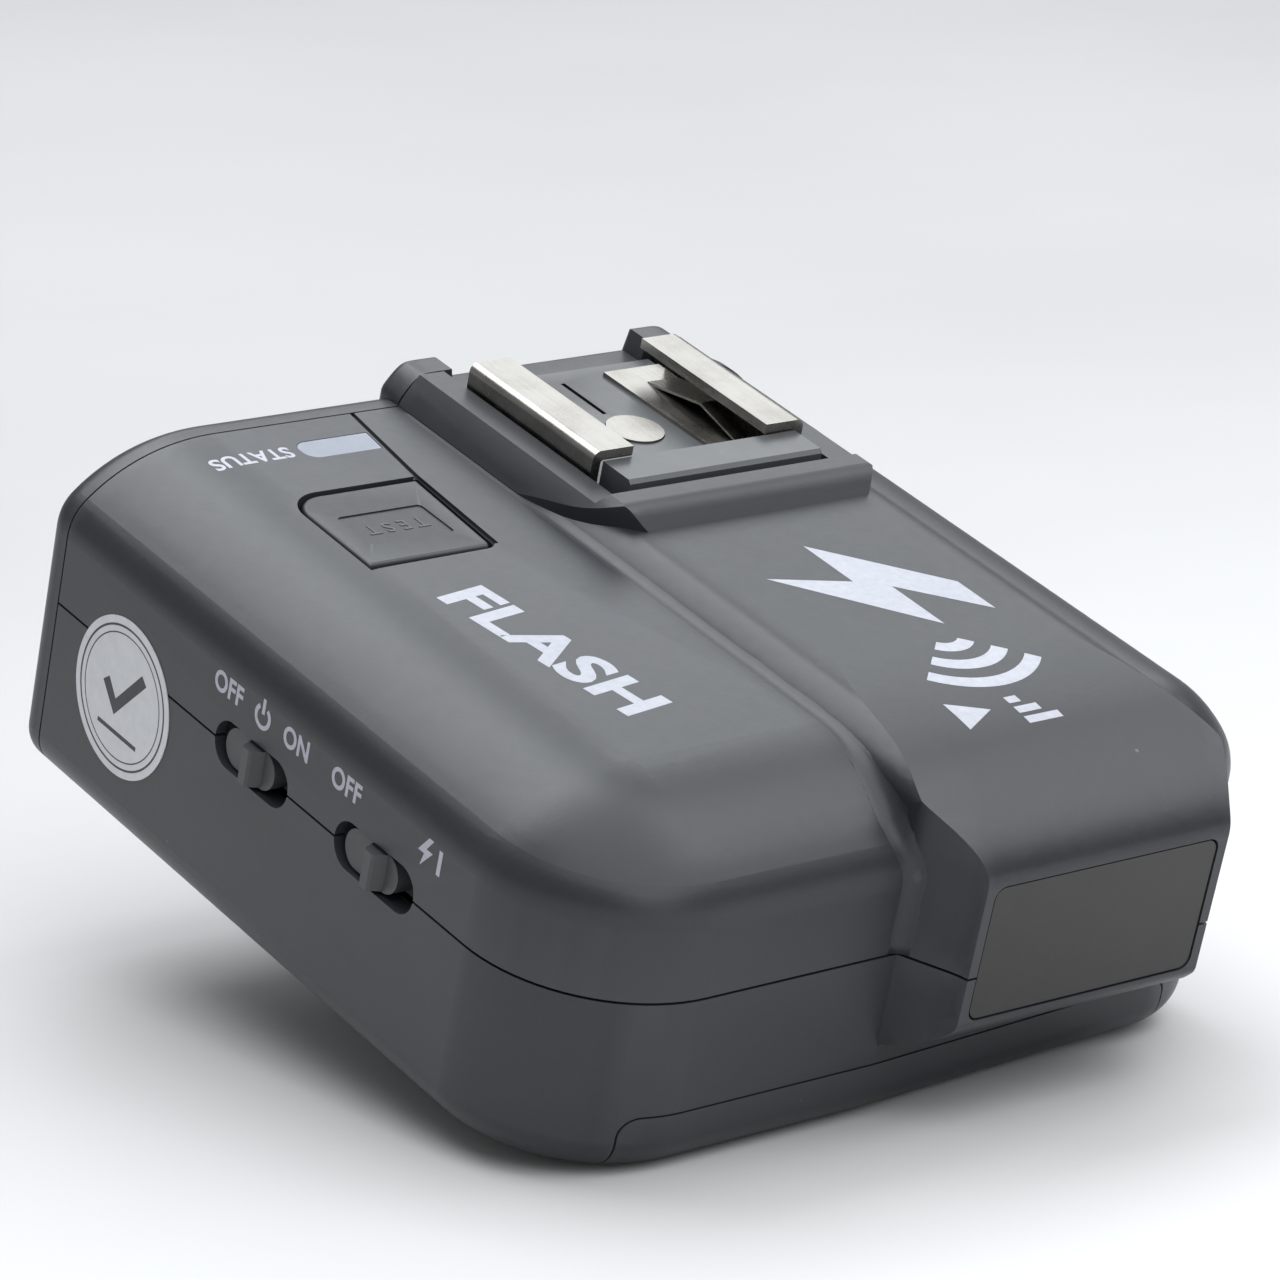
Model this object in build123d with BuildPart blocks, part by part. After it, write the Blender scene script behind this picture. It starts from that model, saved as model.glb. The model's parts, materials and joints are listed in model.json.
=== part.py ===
from build123d import *
import os

os.makedirs("parts", exist_ok=True)

# ---------------------------------------------------------------- driving dimensions (mm)
# +Z up, +Y towards the subject, +X the side with the slide switches.
# Origin: middle of the camera foot's bottom face.
x_right = 43.2          # side wall with the switches
x_left = 22.8           # distance of the other side wall from the YZ plane
y_bulge = 53.9          # front wall of the battery bulge
y_wing = 52.5           # front wall of the narrow wing
y_nose = 58.73          # front of the nose, flush with its window
y_seam = -10.7          # parting plane between the shells and the rear cover
y_back = -13.7          # outer face of the rear cover
r_bulge = 12.0          # plan radius of the bulge's front corner
r_wing = 9.0            # plan radius of the wing's front corner
z_floor = 11.0          # underside of the casing
z_seam = 25.2           # parting plane between the two shells
z_top = 37.6            # flat top of bulge and wing
wall = 1.8              # shell thickness
gap = 0.2               # visible parting gap
spine_w = 14.4          # half width of the spine at the valley
z_spine = 39.35         # top of the spine
edge_r = 3.0            # rounding of the floor's edge
cover_round = 2.0       # rounding of the rear cover's outer edge
ear_round = 0.8

# hot shoe on top
shoe_gap = 6.45         # half gap between the lips (ISO 518)
shoe_out = 10.2         # half width over the rails
shoe_len = 16.0
z_lip = 42.0
lip_t = 0.8
z_chan = 38.9           # channel floor

# camera foot (ISO 518)
foot_w = 18.5
foot_l = 18.0
foot_t = 2.0
post_r = 5.0
ring_r = 11.5
plate_travel = 1.5

# cells
cell_r = 7.15
cell_l = 50.2
cell_x0 = -15.2
cell_z = 21.0
cell_y = (27.7, 42.0)

# rear dial
dial_r = 6.2
dial_y = -8.6
dial_z = 28.0
dial_x = (21.0, 34.6)


# ---------------------------------------------------------------- casing form
def dome(x_wall, y_front, r, top, z_low, z_wall, inset):
    """One side of the casing: straight side run, revolved corner, straight front run."""
    xw, yf, rc, zt = x_wall - inset, y_front - inset, r - inset, top - inset
    xc, yc = x_wall - r, y_front - r
    zw = z_wall - inset * 0.6
    h = zt - zw
    w = min(rc, 12.0)
    # soft shoulder above the wall, then a long crown that ends tangent to the flat top
    k, m = w / 12.0, h / 7.0

    def crown(at):
        with BuildLine() as cl:
            Bezier((at, zw), (at, zw + 1.35 * m), (at - 0.4 * k, zw + 2.25 * m), (at - 1.3 * k, zw + 3.1 * m))
            Bezier((at - 1.3 * k, zw + 3.1 * m), (at - 3.2 * k, zw + 4.89 * m), (at - 6.6 * k, zt), (at - w, zt))
        return cl.line

    with BuildPart() as f:
        with BuildSketch(Plane.XZ.offset(-yc)):
            with BuildLine():
                add(crown(xw))
                Polyline((xw - w, zt), (0, zt), (0, z_low), (xw, z_low), (xw, zw))
            make_face()
        extrude(amount=yc - y_seam)
        with BuildSketch(Plane.YZ):
            with BuildLine():
                add(crown(yf))
                Polyline((yf - w, zt), (yc - 5, zt), (yc - 5, z_low), (yf, z_low), (yf, zw))
            make_face()
        extrude(amount=xc)
        with BuildSketch(Plane.XZ.offset(-yc)):
            with BuildLine():
                add(crown(xw))
                if rc - w > 0.01:
                    Polyline((xw - w, zt), (xc, zt), (xc, z_low), (xw, z_low), (xw, zw))
                else:
                    Polyline((xc, zt), (xc, z_low), (xw, z_low), (xw, zw))
            make_face()
        revolve(axis=Axis((xc, yc, 0), (0, 0, 1)), revolution_arc=90)
    return f.part


def spine(inset, z_low):
    """Raised backbone that carries the shoe and ends in the nose."""
    i = inset
    with BuildPart() as s:
        with BuildSketch(Plane.XY.offset(z_low)):
            with BuildLine():
                Polyline((-spine_w + i, y_seam), (spine_w - i, y_seam), (spine_w - i, 52.2 - i * 0.4))
                Spline([(spine_w - i, 52.2 - i * 0.4), (13.7 - i, 54.5 - i * 0.7), (12.5 - i, 56.6 - i), (11.5 - i, y_nose - i)],
                       tangents=[(0, 1), (-0.3, 1)])
                Line((11.5 - i, y_nose - i), (-11.5 + i, y_nose - i))
                Spline([(-11.5 + i, y_nose - i), (-12.5 + i, 56.6 - i), (-13.7 + i, 54.5 - i * 0.7), (-spine_w + i, 52.2 - i * 0.4)],
                       tangents=[(-0.3, -1), (0, -1)])
                Line((-spine_w + i, 52.2 - i * 0.4), (-spine_w + i, y_seam))
            make_face()
        extrude(amount=z_spine + 2 - z_low)
        with BuildSketch(Plane.YZ.offset(-20)):
            with BuildLine():
                Spline([(38.0 - i, z_spine - i), (46.0 - i, 38.95 - i), (50.4 - i, 38.2 - i), (54.2 - i, 36.7 - i),
                        (56.8 - i, 35.2 - i), (58.2 - i, 33.9 - i), (y_nose - i, 32.4 - i)],
                       tangents=[(1, 0), (0, -1)])
                Polyline((y_nose - i, 32.4 - i), (y_nose - i, z_low), (y_seam, z_low), (y_seam, z_spine - i),
                         (38.0 - i, z_spine - i))
            make_face()
        extrude(amount=40, mode=Mode.INTERSECT)
        with BuildSketch(Plane.XZ.offset(20)):
            with BuildLine():
                Spline([(spine_w - i, 36.4 - i), (13.9 - i, 37.7 - i), (12.5 - i, 38.85 - i), (10.0 - i, z_spine - i)],
                       tangents=[(0, 1), (-1, 0)])
                Polyline((10.0 - i, z_spine - i), (-10.0 + i, z_spine - i))
                Spline([(-10.0 + i, z_spine - i), (-12.5 + i, 38.85 - i), (-13.9 + i, 37.7 - i), (-spine_w + i, 36.4 - i)],
                       tangents=[(-1, 0), (0, -1)])
                Polyline((-spine_w + i, 36.4 - i), (-spine_w + i, z_low), (spine_w - i, z_low), (spine_w - i, 36.4 - i))
            make_face()
        extrude(amount=-90, mode=Mode.INTERSECT)
    return s.part


def low_form(inset, z_high):
    """Lower half of the casing as a closed form."""
    i = inset
    with BuildPart() as f:
        with BuildSketch(Plane.XY.offset(z_floor + i)):
            with BuildLine():
                Polyline((-x_left + i, y_seam), (-x_left + i, y_wing - r_wing))
                RadiusArc((-x_left + i, y_wing - r_wing), (-x_left + r_wing, y_wing - i), r_wing - i)
                Polyline((-x_left + r_wing, y_wing - i), (14.0, y_bulge - i), (x_right - r_bulge, y_bulge - i))
                RadiusArc((x_right - r_bulge, y_bulge - i), (x_right - i, y_bulge - r_bulge), r_bulge - i)
                Polyline((x_right - i, y_bulge - r_bulge), (x_right - i, y_seam), (-x_left + i, y_seam))
            make_face()
        extrude(amount=z_high - z_floor - i)
        rim = f.edges().filter_by(lambda e: abs(e.center().Z - (z_floor + i)) < 1e-3 and e.center().Y > y_seam + 0.01)
        fillet(rim, edge_r - min(i, 1.8))
        # underside of the nose
        with BuildSketch(Plane.YZ.offset(-16)):
            with BuildLine():
                Polyline((y_nose - i, z_high), (y_nose - i, 21.6 + i))
                Spline([(y_nose - i, 21.6 + i), (58.2 - i, 20.5 + i), (56.4 - i, 18.9 + i), (53.4 - i, 17.5 + i), (50.5 - i, 16.9 + i)],
                       tangents=[(0, -1), (-1, -0.1)])
                Polyline((50.5 - i, 16.9 + i), (44, 16.9 + i), (44, z_high), (y_nose - i, z_high))
            make_face()
        nose = extrude(amount=32, mode=Mode.PRIVATE)
        with BuildSketch(Plane.XY.offset(10)) as pl:
            with BuildLine():
                Polyline((-spine_w + i, 45), (spine_w - i, 45), (spine_w - i, 52.2 - i * 0.4))
                Spline([(spine_w - i, 52.2 - i * 0.4), (13.7 - i, 54.5 - i * 0.7), (12.5 - i, 56.6 - i), (11.5 - i, y_nose - i)],
                       tangents=[(0, 1), (-0.3, 1)])
                Line((11.5 - i, y_nose - i), (-11.5 + i, y_nose - i))
                Spline([(-11.5 + i, y_nose - i), (-12.5 + i, 56.6 - i), (-13.7 + i, 54.5 - i * 0.7), (-spine_w + i, 52.2 - i * 0.4)],
                       tangents=[(-0.3, -1), (0, -1)])
                Line((-spine_w + i, 52.2 - i * 0.4), (-spine_w + i, 45))
            make_face()
        col = extrude(amount=z_high - 10, mode=Mode.PRIVATE)
        add(nose & col)
    return f.part


bulge_out = dome(x_right, y_bulge, r_bulge, z_top, z_seam, 30.6, 0)
bulge_in = dome(x_right, y_bulge, r_bulge, z_top, z_seam - 3, 30.6, wall)
wing_out = mirror(dome(x_left, y_wing, r_wing, z_top, z_seam, 30.6, 0), about=Plane.YZ)
wing_in = mirror(dome(x_left, y_wing, r_wing, z_top, z_seam - 3, 30.6, wall), about=Plane.YZ)
spine_out = spine(0, z_seam)
spine_in = spine(wall, z_seam - 3)
low_out = low_form(0, z_seam - gap / 2)
low_in = low_form(wall, z_seam + 2)
lip_out = low_form(0.9, z_seam + 1.1)
print("forms ready")


with BuildPart() as pl:
    with BuildSketch(Plane.YZ.offset(-15)):
        with BuildLine():
            Polyline((y_seam, 37.7), (16.9, 37.7), (16.2, 39.3), (15.4, 40.2))
            Spline([(15.4, 40.2), (14.8, 40.75), (14.1, 40.95)], tangents=[(-0.62, 0.78), (-1, 0)])
            Polyline((14.1, 40.95), (12.6, 40.95), (12.1, 40.1), (y_seam, 40.1), (y_seam, 37.7))
        make_face()
    extrude(amount=30)
    with BuildSketch(Plane.XZ.offset(-20)):
        with BuildLine():
            Polyline((-14.35, 37.6), (14.35, 37.6))
            Spline([(14.35, 37.6), (13.7, 38.85), (12.85, 40.0), (11.9, 40.95)], tangents=[(-0.3, 1), (-0.8, 0.6)])
            Polyline((11.9, 40.95), (-11.9, 40.95))
            Spline([(-11.9, 40.95), (-12.85, 40.0), (-13.7, 38.85), (-14.35, 37.6)], tangents=[(-0.8, -0.6), (-0.3, -1)])
        make_face()
    extrude(amount=40, mode=Mode.INTERSECT)
    with BuildSketch(Plane.XY.offset(37)):
        with BuildLine():
            Polyline((-14.5, y_seam), (14.5, y_seam), (14.5, 2.0))
            Spline([(14.5, 2.0), (13.9, 8.0), (12.9, 12.6), (11.2, 15.6), (8.6, 16.9)], tangents=[(0, 1), (-1, 0)])
            Line((8.6, 16.9), (-8.6, 16.9))
            Spline([(-8.6, 16.9), (-11.2, 15.6), (-12.9, 12.6), (-13.9, 8.0), (-14.5, 2.0)], tangents=[(-1, 0), (0, -1)])
            Line((-14.5, 2.0), (-14.5, y_seam))
        make_face()
    extrude(amount=6, mode=Mode.INTERSECT)
plateau = pl.part
print("plateau", plateau.volume, len(plateau.solids()))


# openings of the upper casing
def status_outline(off):
    with BuildSketch(Plane.XY.offset(30)) as sk:
        with BuildLine():
            Polyline((19.5, -7.6), (26.4, -7.6), (26.4, -4.9), (19.85, -4.9), (19.5, -7.6))
        make_face()
        fillet(sk.vertices().sort_by(Axis.X)[-2:], 1.1)
        if off:
            offset(amount=off, kind=Kind.INTERSECTION)
    return sk.sketch


def test_outline(off):
    with BuildSketch(Plane.XY.offset(30)) as sk:
        with BuildLine():
            Polyline((20.0, 0.0), (32.3, 0.0), (32.55, 12.0), (20.85, 11.8), (20.0, 0.0))
        make_face()
        v = sk.vertices().sort_by(lambda p: -p.X + p.Y)[0]
        fillet(v, 3.0)
        v = sk.vertices().sort_by(lambda p: p.X - p.Y)[0]
        fillet(v, 1.2)
        if off:
            offset(amount=off, kind=Kind.INTERSECTION)
    return sk.sketch


# ---------------------------------------------------------------- upper shell
with BuildPart() as upper_shell:
    add(bulge_out)
    add(wing_out)
    add(spine_out)
    # plateau round the shoe, higher across the front
    add(plateau)
    add(bulge_in, mode=Mode.SUBTRACT)
    add(wing_in, mode=Mode.SUBTRACT)
    add(spine_in, mode=Mode.SUBTRACT)
    # parting gap and rebate for the lower shell's lip
    with BuildSketch(Plane.XY.offset(z_seam - 1)):
        Rectangle(200, 200)
    extrude(amount=1 + gap / 2, mode=Mode.SUBTRACT)
    with BuildSketch(Plane.XY.offset(36.2)):
        with Locations((0, 0.4)):
            Rectangle(21.0, 22.6)
    extrude(amount=8, mode=Mode.SUBTRACT)
    # solid seat under the shoe
    with BuildSketch(Plane.XY.offset(35.6)):
        with Locations((0, 0.6)):
            Rectangle(23.0, 22.6)
    extrude(amount=1.9)
    with BuildSketch(Plane.XY.offset(37.5)):
        with Locations((0, -1.5)):
            Rectangle(21.0, 26.4)
    extrude(amount=5, mode=Mode.SUBTRACT)
    # test key and status window
    with BuildSketch(Plane.XY.offset(30)):
        add(test_outline(0))
    extrude(amount=10, mode=Mode.SUBTRACT)
    with BuildSketch(Plane.XY.offset(30)):
        add(status_outline(0))
    extrude(amount=10, mode=Mode.SUBTRACT)
    # trim groove beside the valley
    with BuildSketch(Plane.XY.offset(z_top - 0.3)):
        with BuildLine():
            Polyline((18.5, y_seam), (18.9, y_seam), (20.35, -0.1), (21.0, 11.3), (20.6, 11.3), (19.9, -0.1), (18.5, y_seam))
        make_face()
    extrude(amount=2, mode=Mode.SUBTRACT)
    # slide switch windows
    for y0, y1 in ((10.75, 20.1), (26.1, 35.8)):
        with BuildSketch(Plane.YZ.offset(36)):
            with Locations(((y0 + y1) / 2, 25.3)):
                SlotOverall(y1 - y0, 3.7)
        extrude(amount=10, mode=Mode.SUBTRACT)
    # window opening in the nose
    with BuildSketch(Plane.XZ.offset(-54)):
        with Locations((0, 27.0)):
            RectangleRounded(21.4, 10.9, 1.0)
    extrude(amount=-10, mode=Mode.SUBTRACT)
    # screw bosses
    for px, py, pt in ((-18, -2.2, 34.2), (38, 0.5, 34.2), (-18, 15.9, 34.2), (34, 15.9, 36.0)):
        with BuildSketch(Plane.XY.offset(26.4)):
            with Locations((px, py)):
                Circle(2.4)
                Circle(0.85, mode=Mode.SUBTRACT)
        extrude(amount=pt - 26.4)
upper_raw = upper_shell.part
print("upper raw", upper_raw.volume, len(upper_raw.solids()))

with BuildPart() as lip_cut:
    add(lip_out)
    with BuildSketch(Plane.XY.offset(0)):
        Rectangle(200, 200)
    extrude(amount=z_seam - 1, mode=Mode.SUBTRACT)

with BuildPart() as upper_shell:
    add(upper_raw)
    add(lip_cut.part, mode=Mode.SUBTRACT)
print("upper", upper_shell.part.volume, len(upper_shell.part.solids()), upper_shell.part.is_valid)
upper_shell.part.label = "upper_shell"
export_step(upper_shell.part, "parts/upper_shell.step")

# ---------------------------------------------------------------- lower shell and battery door
door_x = (-16.0, 36.0)
guide = 1.15
with BuildPart() as door_zone:
    with BuildSketch(Plane.XZ.offset(-49.3)):
        with Locations(((door_x[0] + door_x[1]) / 2, 11.05)):
            RectangleRounded(door_x[1] - door_x[0], 10.1, 1.6)
    extrude(amount=-11.8)
    with BuildSketch(Plane.XY.offset(8)):
        with Locations(((door_x[0] + door_x[1]) / 2, (21.6 + 53) / 2)):
            Rectangle(door_x[1] - door_x[0] - 2 * guide, 53 - 21.6)
    extrude(amount=z_floor + wall - 8 + 0.001)
with BuildPart() as door_zone_in:
    with BuildSketch(Plane.XZ.offset(-49.45)):
        with Locations(((door_x[0] + door_x[1]) / 2, 11.05)):
            RectangleRounded(door_x[1] - door_x[0] - 0.3, 9.8, 1.5)
    extrude(amount=-11.8)
    with BuildSketch(Plane.XY.offset(8)):
        with Locations(((door_x[0] + door_x[1]) / 2, (21.75 + 53) / 2)):
            Rectangle(door_x[1] - door_x[0] - 2 * guide - 0.3, 53 - 21.75)
    extrude(amount=z_floor + wall - 8)
low_skin = low_out - low_in

with BuildPart() as battery_door:
    add(low_skin)
    add(door_zone_in.part, mode=Mode.INTERSECT)
    # guide tongues that ride on the casing floor
    for sx in (-1, 1):
        cx = (door_x[0] + door_x[1]) / 2 + sx * ((door_x[1] - door_x[0]) / 2 - guide - 0.35)
        with BuildSketch(Plane.XY.offset(z_floor + wall)):
            with Locations((cx - sx * 0.25, 35.6)):
                Rectangle(0.9, 26.0)
        extrude(amount=0.15)
        with BuildSketch(Plane.XY.offset(z_floor + wall + 0.15)):
            with Locations((cx + sx * 0.05, 35.6)):
                Rectangle(1.5, 26.0)
        extrude(amount=0.8)
battery_door.part.label = "battery_door"
export_step(battery_door.part, "parts/battery_door.step")
print("door", battery_door.part.volume, len(battery_door.part.solids()))

with BuildPart() as lower_shell:
    add(low_skin)
    add(door_zone.part, mode=Mode.SUBTRACT)
    # lip that centres the upper shell
    with BuildSketch(Plane.XY.offset(z_seam - 1.6)):
        with BuildLine():
            i = 1.0
            Polyline((-x_left + i, y_seam), (-x_left + i, y_wing - r_wing))
            RadiusArc((-x_left + i, y_wing - r_wing), (-x_left + r_wing, y_wing - i), r_wing - i)
            Polyline((-x_left + r_wing, y_wing - i), (14.0, y_bulge - i), (x_right - r_bulge, y_bulge - i))
            RadiusArc((x_right - r_bulge, y_bulge - i), (x_right - i, y_bulge - r_bulge), r_bulge - i)
            Polyline((x_right - i, y_bulge - r_bulge), (x_right - i, y_seam), (-x_left + i, y_seam))
        make_face()
        with BuildLine():
            i = 1.85
            Polyline((-x_left + i, y_seam - 1), (-x_left + i, y_wing - r_wing))
            RadiusArc((-x_left + i, y_wing - r_wing), (-x_left + r_wing, y_wing - i), r_wing - i)
            Polyline((-x_left + r_wing, y_wing - i), (14.0, y_bulge - i), (x_right - r_bulge, y_bulge - i))
            RadiusArc((x_right - r_bulge, y_bulge - i), (x_right - i, y_bulge - r_bulge), r_bulge - i)
            Polyline((x_right - i, y_bulge - r_bulge), (x_right - i, y_seam - 1), (-x_left + i, y_seam - 1))
        make_face(mode=Mode.SUBTRACT)
        with Locations((0, 56)):
            Rectangle(31, 12, mode=Mode.SUBTRACT)
    extrude(amount=2.5)
    for y0, y1 in ((10.75, 20.1), (26.1, 35.8)):
        with BuildSketch(Plane.YZ.offset(36)):
            with Locations(((y0 + y1) / 2, 25.3)):
                SlotOverall(y1 - y0, 3.7)
        extrude(amount=10, mode=Mode.SUBTRACT)
    with BuildSketch(Plane.XZ.offset(-54)):
        with Locations((0, 27.0)):
            RectangleRounded(21.4, 10.9, 1.0)
    extrude(amount=-10, mode=Mode.SUBTRACT)
    # screw bosses with deep recesses
    for px, py in ((-18, -2.2), (38, 0.5), (-18, 15.9), (34, 15.9)):
        with BuildSketch(Plane.XY.offset(z_floor + wall - 0.2)):
            with Locations((px, py)):
                Circle(2.7)
        extrude(amount=26.2 - z_floor - wall)
        with BuildSketch(Plane.XY.offset(z_floor - 1)):
            with Locations((px, py)):
                Circle(1.95)
        extrude(amount=12.4, mode=Mode.SUBTRACT)
        with BuildSketch(Plane.XY.offset(z_floor - 1)):
            with Locations((px, py)):
                Circle(1.05)
        extrude(amount=17, mode=Mode.SUBTRACT)
    # sockets in the wing side
    with BuildSketch(Plane.YZ.offset(-x_left - 1)):
        with Locations((9.6, 18.5)):
            Circle(3.1)
        with Locations((2.9, 18.0)):
            RectangleRounded(3.4, 8.6, 0.6)
    extrude(amount=4, mode=Mode.SUBTRACT)
    # holes for the foot screws and the contact leads
    with BuildSketch(Plane.XY.offset(z_floor - 1)):
        with GridLocations(12.4, 12.4, 2, 2):
            Circle(1.05)
        Circle(2.0)
    extrude(amount=4, mode=Mode.SUBTRACT)
lower_shell.part.label = "lower_shell"
export_step(lower_shell.part, "parts/lower_shell.step")
print("lower", lower_shell.part.volume, len(lower_shell.part.solids()), lower_shell.part.is_valid)

# ---------------------------------------------------------------- rear cover
with BuildPart() as ears:
    with BuildSketch(Plane.XZ.offset(-y_seam + 0.15)):
        with BuildLine():
            Polyline((14.3, 35.0), (14.3, z_top))
            Spline([(14.3, z_top), (13.9, 38.6), (12.8, 39.8), (11.2, 40.1)], tangents=[(0, 1), (-1, 0)])
            Polyline((11.2, 40.1), (9.6, 40.1), (9.2, 38.3), (-9.2, 38.3), (-9.6, 40.1), (-11.2, 40.1))
            Spline([(-11.2, 40.1), (-12.8, 39.8), (-13.9, 38.6), (-14.3, z_top)], tangents=[(-1, 0), (0, -1)])
            Polyline((-14.3, z_top), (-14.3, 35.0), (14.3, 35.0))
        make_face()
    extrude(amount=y_seam - y_back - 0.15)
    rim = ears.faces().sort_by(Axis.Y)[0].edges().filter_by(lambda e: e.center().Z > 37.7)
    fillet(rim, ear_round)

with BuildPart() as rear_cover:
    with BuildSketch(Plane.XZ.offset(-y_seam + 0.15)):
        with BuildLine():
            zw = 30.6
            Polyline((-x_left + edge_r, z_floor), (x_right - edge_r, z_floor))
            RadiusArc((x_right - edge_r, z_floor), (x_right, z_floor + edge_r), -edge_r)
            Line((x_right, z_floor + edge_r), (x_right, zw))
            Bezier((x_right, zw), (x_right, zw + 1.35), (x_right - 0.4, zw + 2.25), (x_right - 1.3, zw + 3.1))
            Bezier((x_right - 1.3, zw + 3.1), (x_right - 3.2, zw + 4.89), (x_right - 6.6, z_top), (x_right - 12, z_top))
            Line((x_right - 12, z_top), (-x_left + 8.4, z_top))
            Bezier((-x_left + 8.4, z_top), (-x_left + 4.62, z_top), (-x_left + 2.24, zw + 4.89), (-x_left + 0.91, zw + 3.1))
            Bezier((-x_left + 0.91, zw + 3.1), (-x_left + 0.28, zw + 2.25), (-x_left, zw + 1.35), (-x_left, zw))
            Line((-x_left, zw), (-x_left, z_floor + edge_r))
            RadiusArc((-x_left, z_floor + edge_r), (-x_left + edge_r, z_floor), -edge_r)
        make_face()
    extrude(amount=y_seam - y_back - 0.15)
    fillet(rear_cover.faces().sort_by(Axis.Y)[0].edges(), cover_round)
    add(ears.part)
rear_cover_raw = rear_cover.part
print("cover raw", rear_cover_raw.volume)
lcd = (-2.0, 24.6, 33.0, 17.6)   # centre x, centre z, width, height of the window
with BuildPart() as rear_cover:
    add(rear_cover_raw)
    with BuildSketch(Plane.XZ.offset(-y_back - 5)):
        with Locations((lcd[0], lcd[1])):
            RectangleRounded(lcd[2] - 2.0, lcd[3] - 2.0, 0.8)
        with Locations((23.2, 19.3), (32.6, 19.3), (23.2, 14.9), (32.6, 14.9)):
            SlotOverall(7.8, 3.3)
    extrude(amount=10, mode=Mode.SUBTRACT)
    with BuildSketch(Plane.XZ.offset(-y_back - 1.1)):
        with Locations((lcd[0], lcd[1])):
            RectangleRounded(lcd[2], lcd[3], 1.2)
    extrude(amount=5, mode=Mode.SUBTRACT)
    with BuildSketch(Plane.YZ.offset(dial_x[0] - 0.35)):
        with Locations((dial_y, dial_z)):
            Circle(dial_r + 0.35)
    extrude(amount=dial_x[1] - dial_x[0] + 0.7, mode=Mode.SUBTRACT)
rear_cover.part.label = "rear_cover"
export_step(rear_cover.part, "parts/rear_cover.step")
print("cover", rear_cover.part.volume, len(rear_cover.part.solids()), rear_cover.part.is_valid)

with BuildPart() as lcd_window:
    with BuildSketch(Plane.XZ.offset(-y_back - 1.1)):
        with Locations((lcd[0], lcd[1])):
            RectangleRounded(lcd[2] - 0.2, lcd[3] - 0.2, 1.1)
    extrude(amount=1.05)
lcd_window.part.label = "lcd_window"
export_step(lcd_window.part, "parts/lcd_window.step")

with BuildPart() as lcd_module:
    with BuildSketch(Plane.XZ.offset(9.0)):
        with Locations((lcd[0], lcd[1])):
            RectangleRounded(lcd[2] - 2.6, lcd[3] - 2.6, 0.7)
    extrude(amount=3.3)
    with BuildSketch(Plane.XZ.offset(7.4)):
        with Locations((lcd[0], lcd[1] - 0.4)):
            Rectangle(lcd[2] + 0.8, lcd[3] - 0.4)
    extrude(amount=1.6)
lcd_module.part.label = "lcd_module"
export_step(lcd_module.part, "parts/lcd_module.step")

# ---------------------------------------------------------------- rear keys, key board, dial
key_pos = ((23.2, 19.3), (32.6, 19.3), (23.2, 14.9), (32.6, 14.9))
with BuildPart() as rear_button_1:
    with BuildSketch(Plane.XZ.offset(10.2)):
        with Locations(key_pos[0]):
            SlotOverall(7.4, 2.9)
    extrude(amount=4.1)
    fillet(rear_button_1.faces().sort_by(Axis.Y)[0].edges(), 0.4)
    with BuildSketch(Plane.XZ.offset(10.15)):
        with Locations(key_pos[0]):
            SlotOverall(8.6, 3.9)
    extrude(amount=0.6)
    with BuildSketch(Plane.XZ.offset(9.3)):
        with Locations(key_pos[0]):
            Circle(1.0)
    extrude(amount=0.95)
rear_button_1.part.label = "rear_button_1"
export_step(rear_button_1.part, "parts/rear_button_1.step")

with BuildPart() as rear_button_2:
    with BuildSketch(Plane.XZ.offset(10.2)):
        with Locations(key_pos[1]):
            SlotOverall(7.4, 2.9)
    extrude(amount=4.1)
    fillet(rear_button_2.faces().sort_by(Axis.Y)[0].edges(), 0.4)
    with BuildSketch(Plane.XZ.offset(10.15)):
        with Locations(key_pos[1]):
            SlotOverall(8.6, 3.9)
    extrude(amount=0.6)
    with BuildSketch(Plane.XZ.offset(9.3)):
        with Locations(key_pos[1]):
            Circle(1.0)
    extrude(amount=0.95)
rear_button_2.part.label = "rear_button_2"
export_step(rear_button_2.part, "parts/rear_button_2.step")

with BuildPart() as rear_button_3:
    with BuildSketch(Plane.XZ.offset(10.2)):
        with Locations(key_pos[2]):
            SlotOverall(7.4, 2.9)
    extrude(amount=4.1)
    fillet(rear_button_3.faces().sort_by(Axis.Y)[0].edges(), 0.4)
    with BuildSketch(Plane.XZ.offset(10.15)):
        with Locations(key_pos[2]):
            SlotOverall(8.6, 3.9)
    extrude(amount=0.6)
    with BuildSketch(Plane.XZ.offset(9.3)):
        with Locations(key_pos[2]):
            Circle(1.0)
    extrude(amount=0.95)
rear_button_3.part.label = "rear_button_3"
export_step(rear_button_3.part, "parts/rear_button_3.step")

with BuildPart() as rear_button_4:
    with BuildSketch(Plane.XZ.offset(10.2)):
        with Locations(key_pos[3]):
            SlotOverall(7.4, 2.9)
    extrude(amount=4.1)
    fillet(rear_button_4.faces().sort_by(Axis.Y)[0].edges(), 0.4)
    with BuildSketch(Plane.XZ.offset(10.15)):
        with Locations(key_pos[3]):
            SlotOverall(8.6, 3.9)
    extrude(amount=0.6)
    with BuildSketch(Plane.XZ.offset(9.3)):
        with Locations(key_pos[3]):
            Circle(1.0)
    extrude(amount=0.95)
rear_button_4.part.label = "rear_button_4"
export_step(rear_button_4.part, "parts/rear_button_4.step")

with BuildPart() as key_board:
    with BuildSketch(Plane.XZ.offset(4.6)):
        with Locations((9.5, 22.4)):
            Rectangle(57, 15.6)
        with Locations(((dial_x[0] + dial_x[1]) / 2, dial_z)):
            Rectangle(19.6, 13.4, mode=Mode.SUBTRACT)
        with Locations((38.0, 20)):
            Rectangle(6, 30, mode=Mode.SUBTRACT)
        with Locations((-18, 20)):
            Rectangle(6.2, 30, mode=Mode.SUBTRACT)
    extrude(amount=1.0)
key_board.part.label = "key_board"
export_step(key_board.part, "parts/key_board.step")

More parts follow.
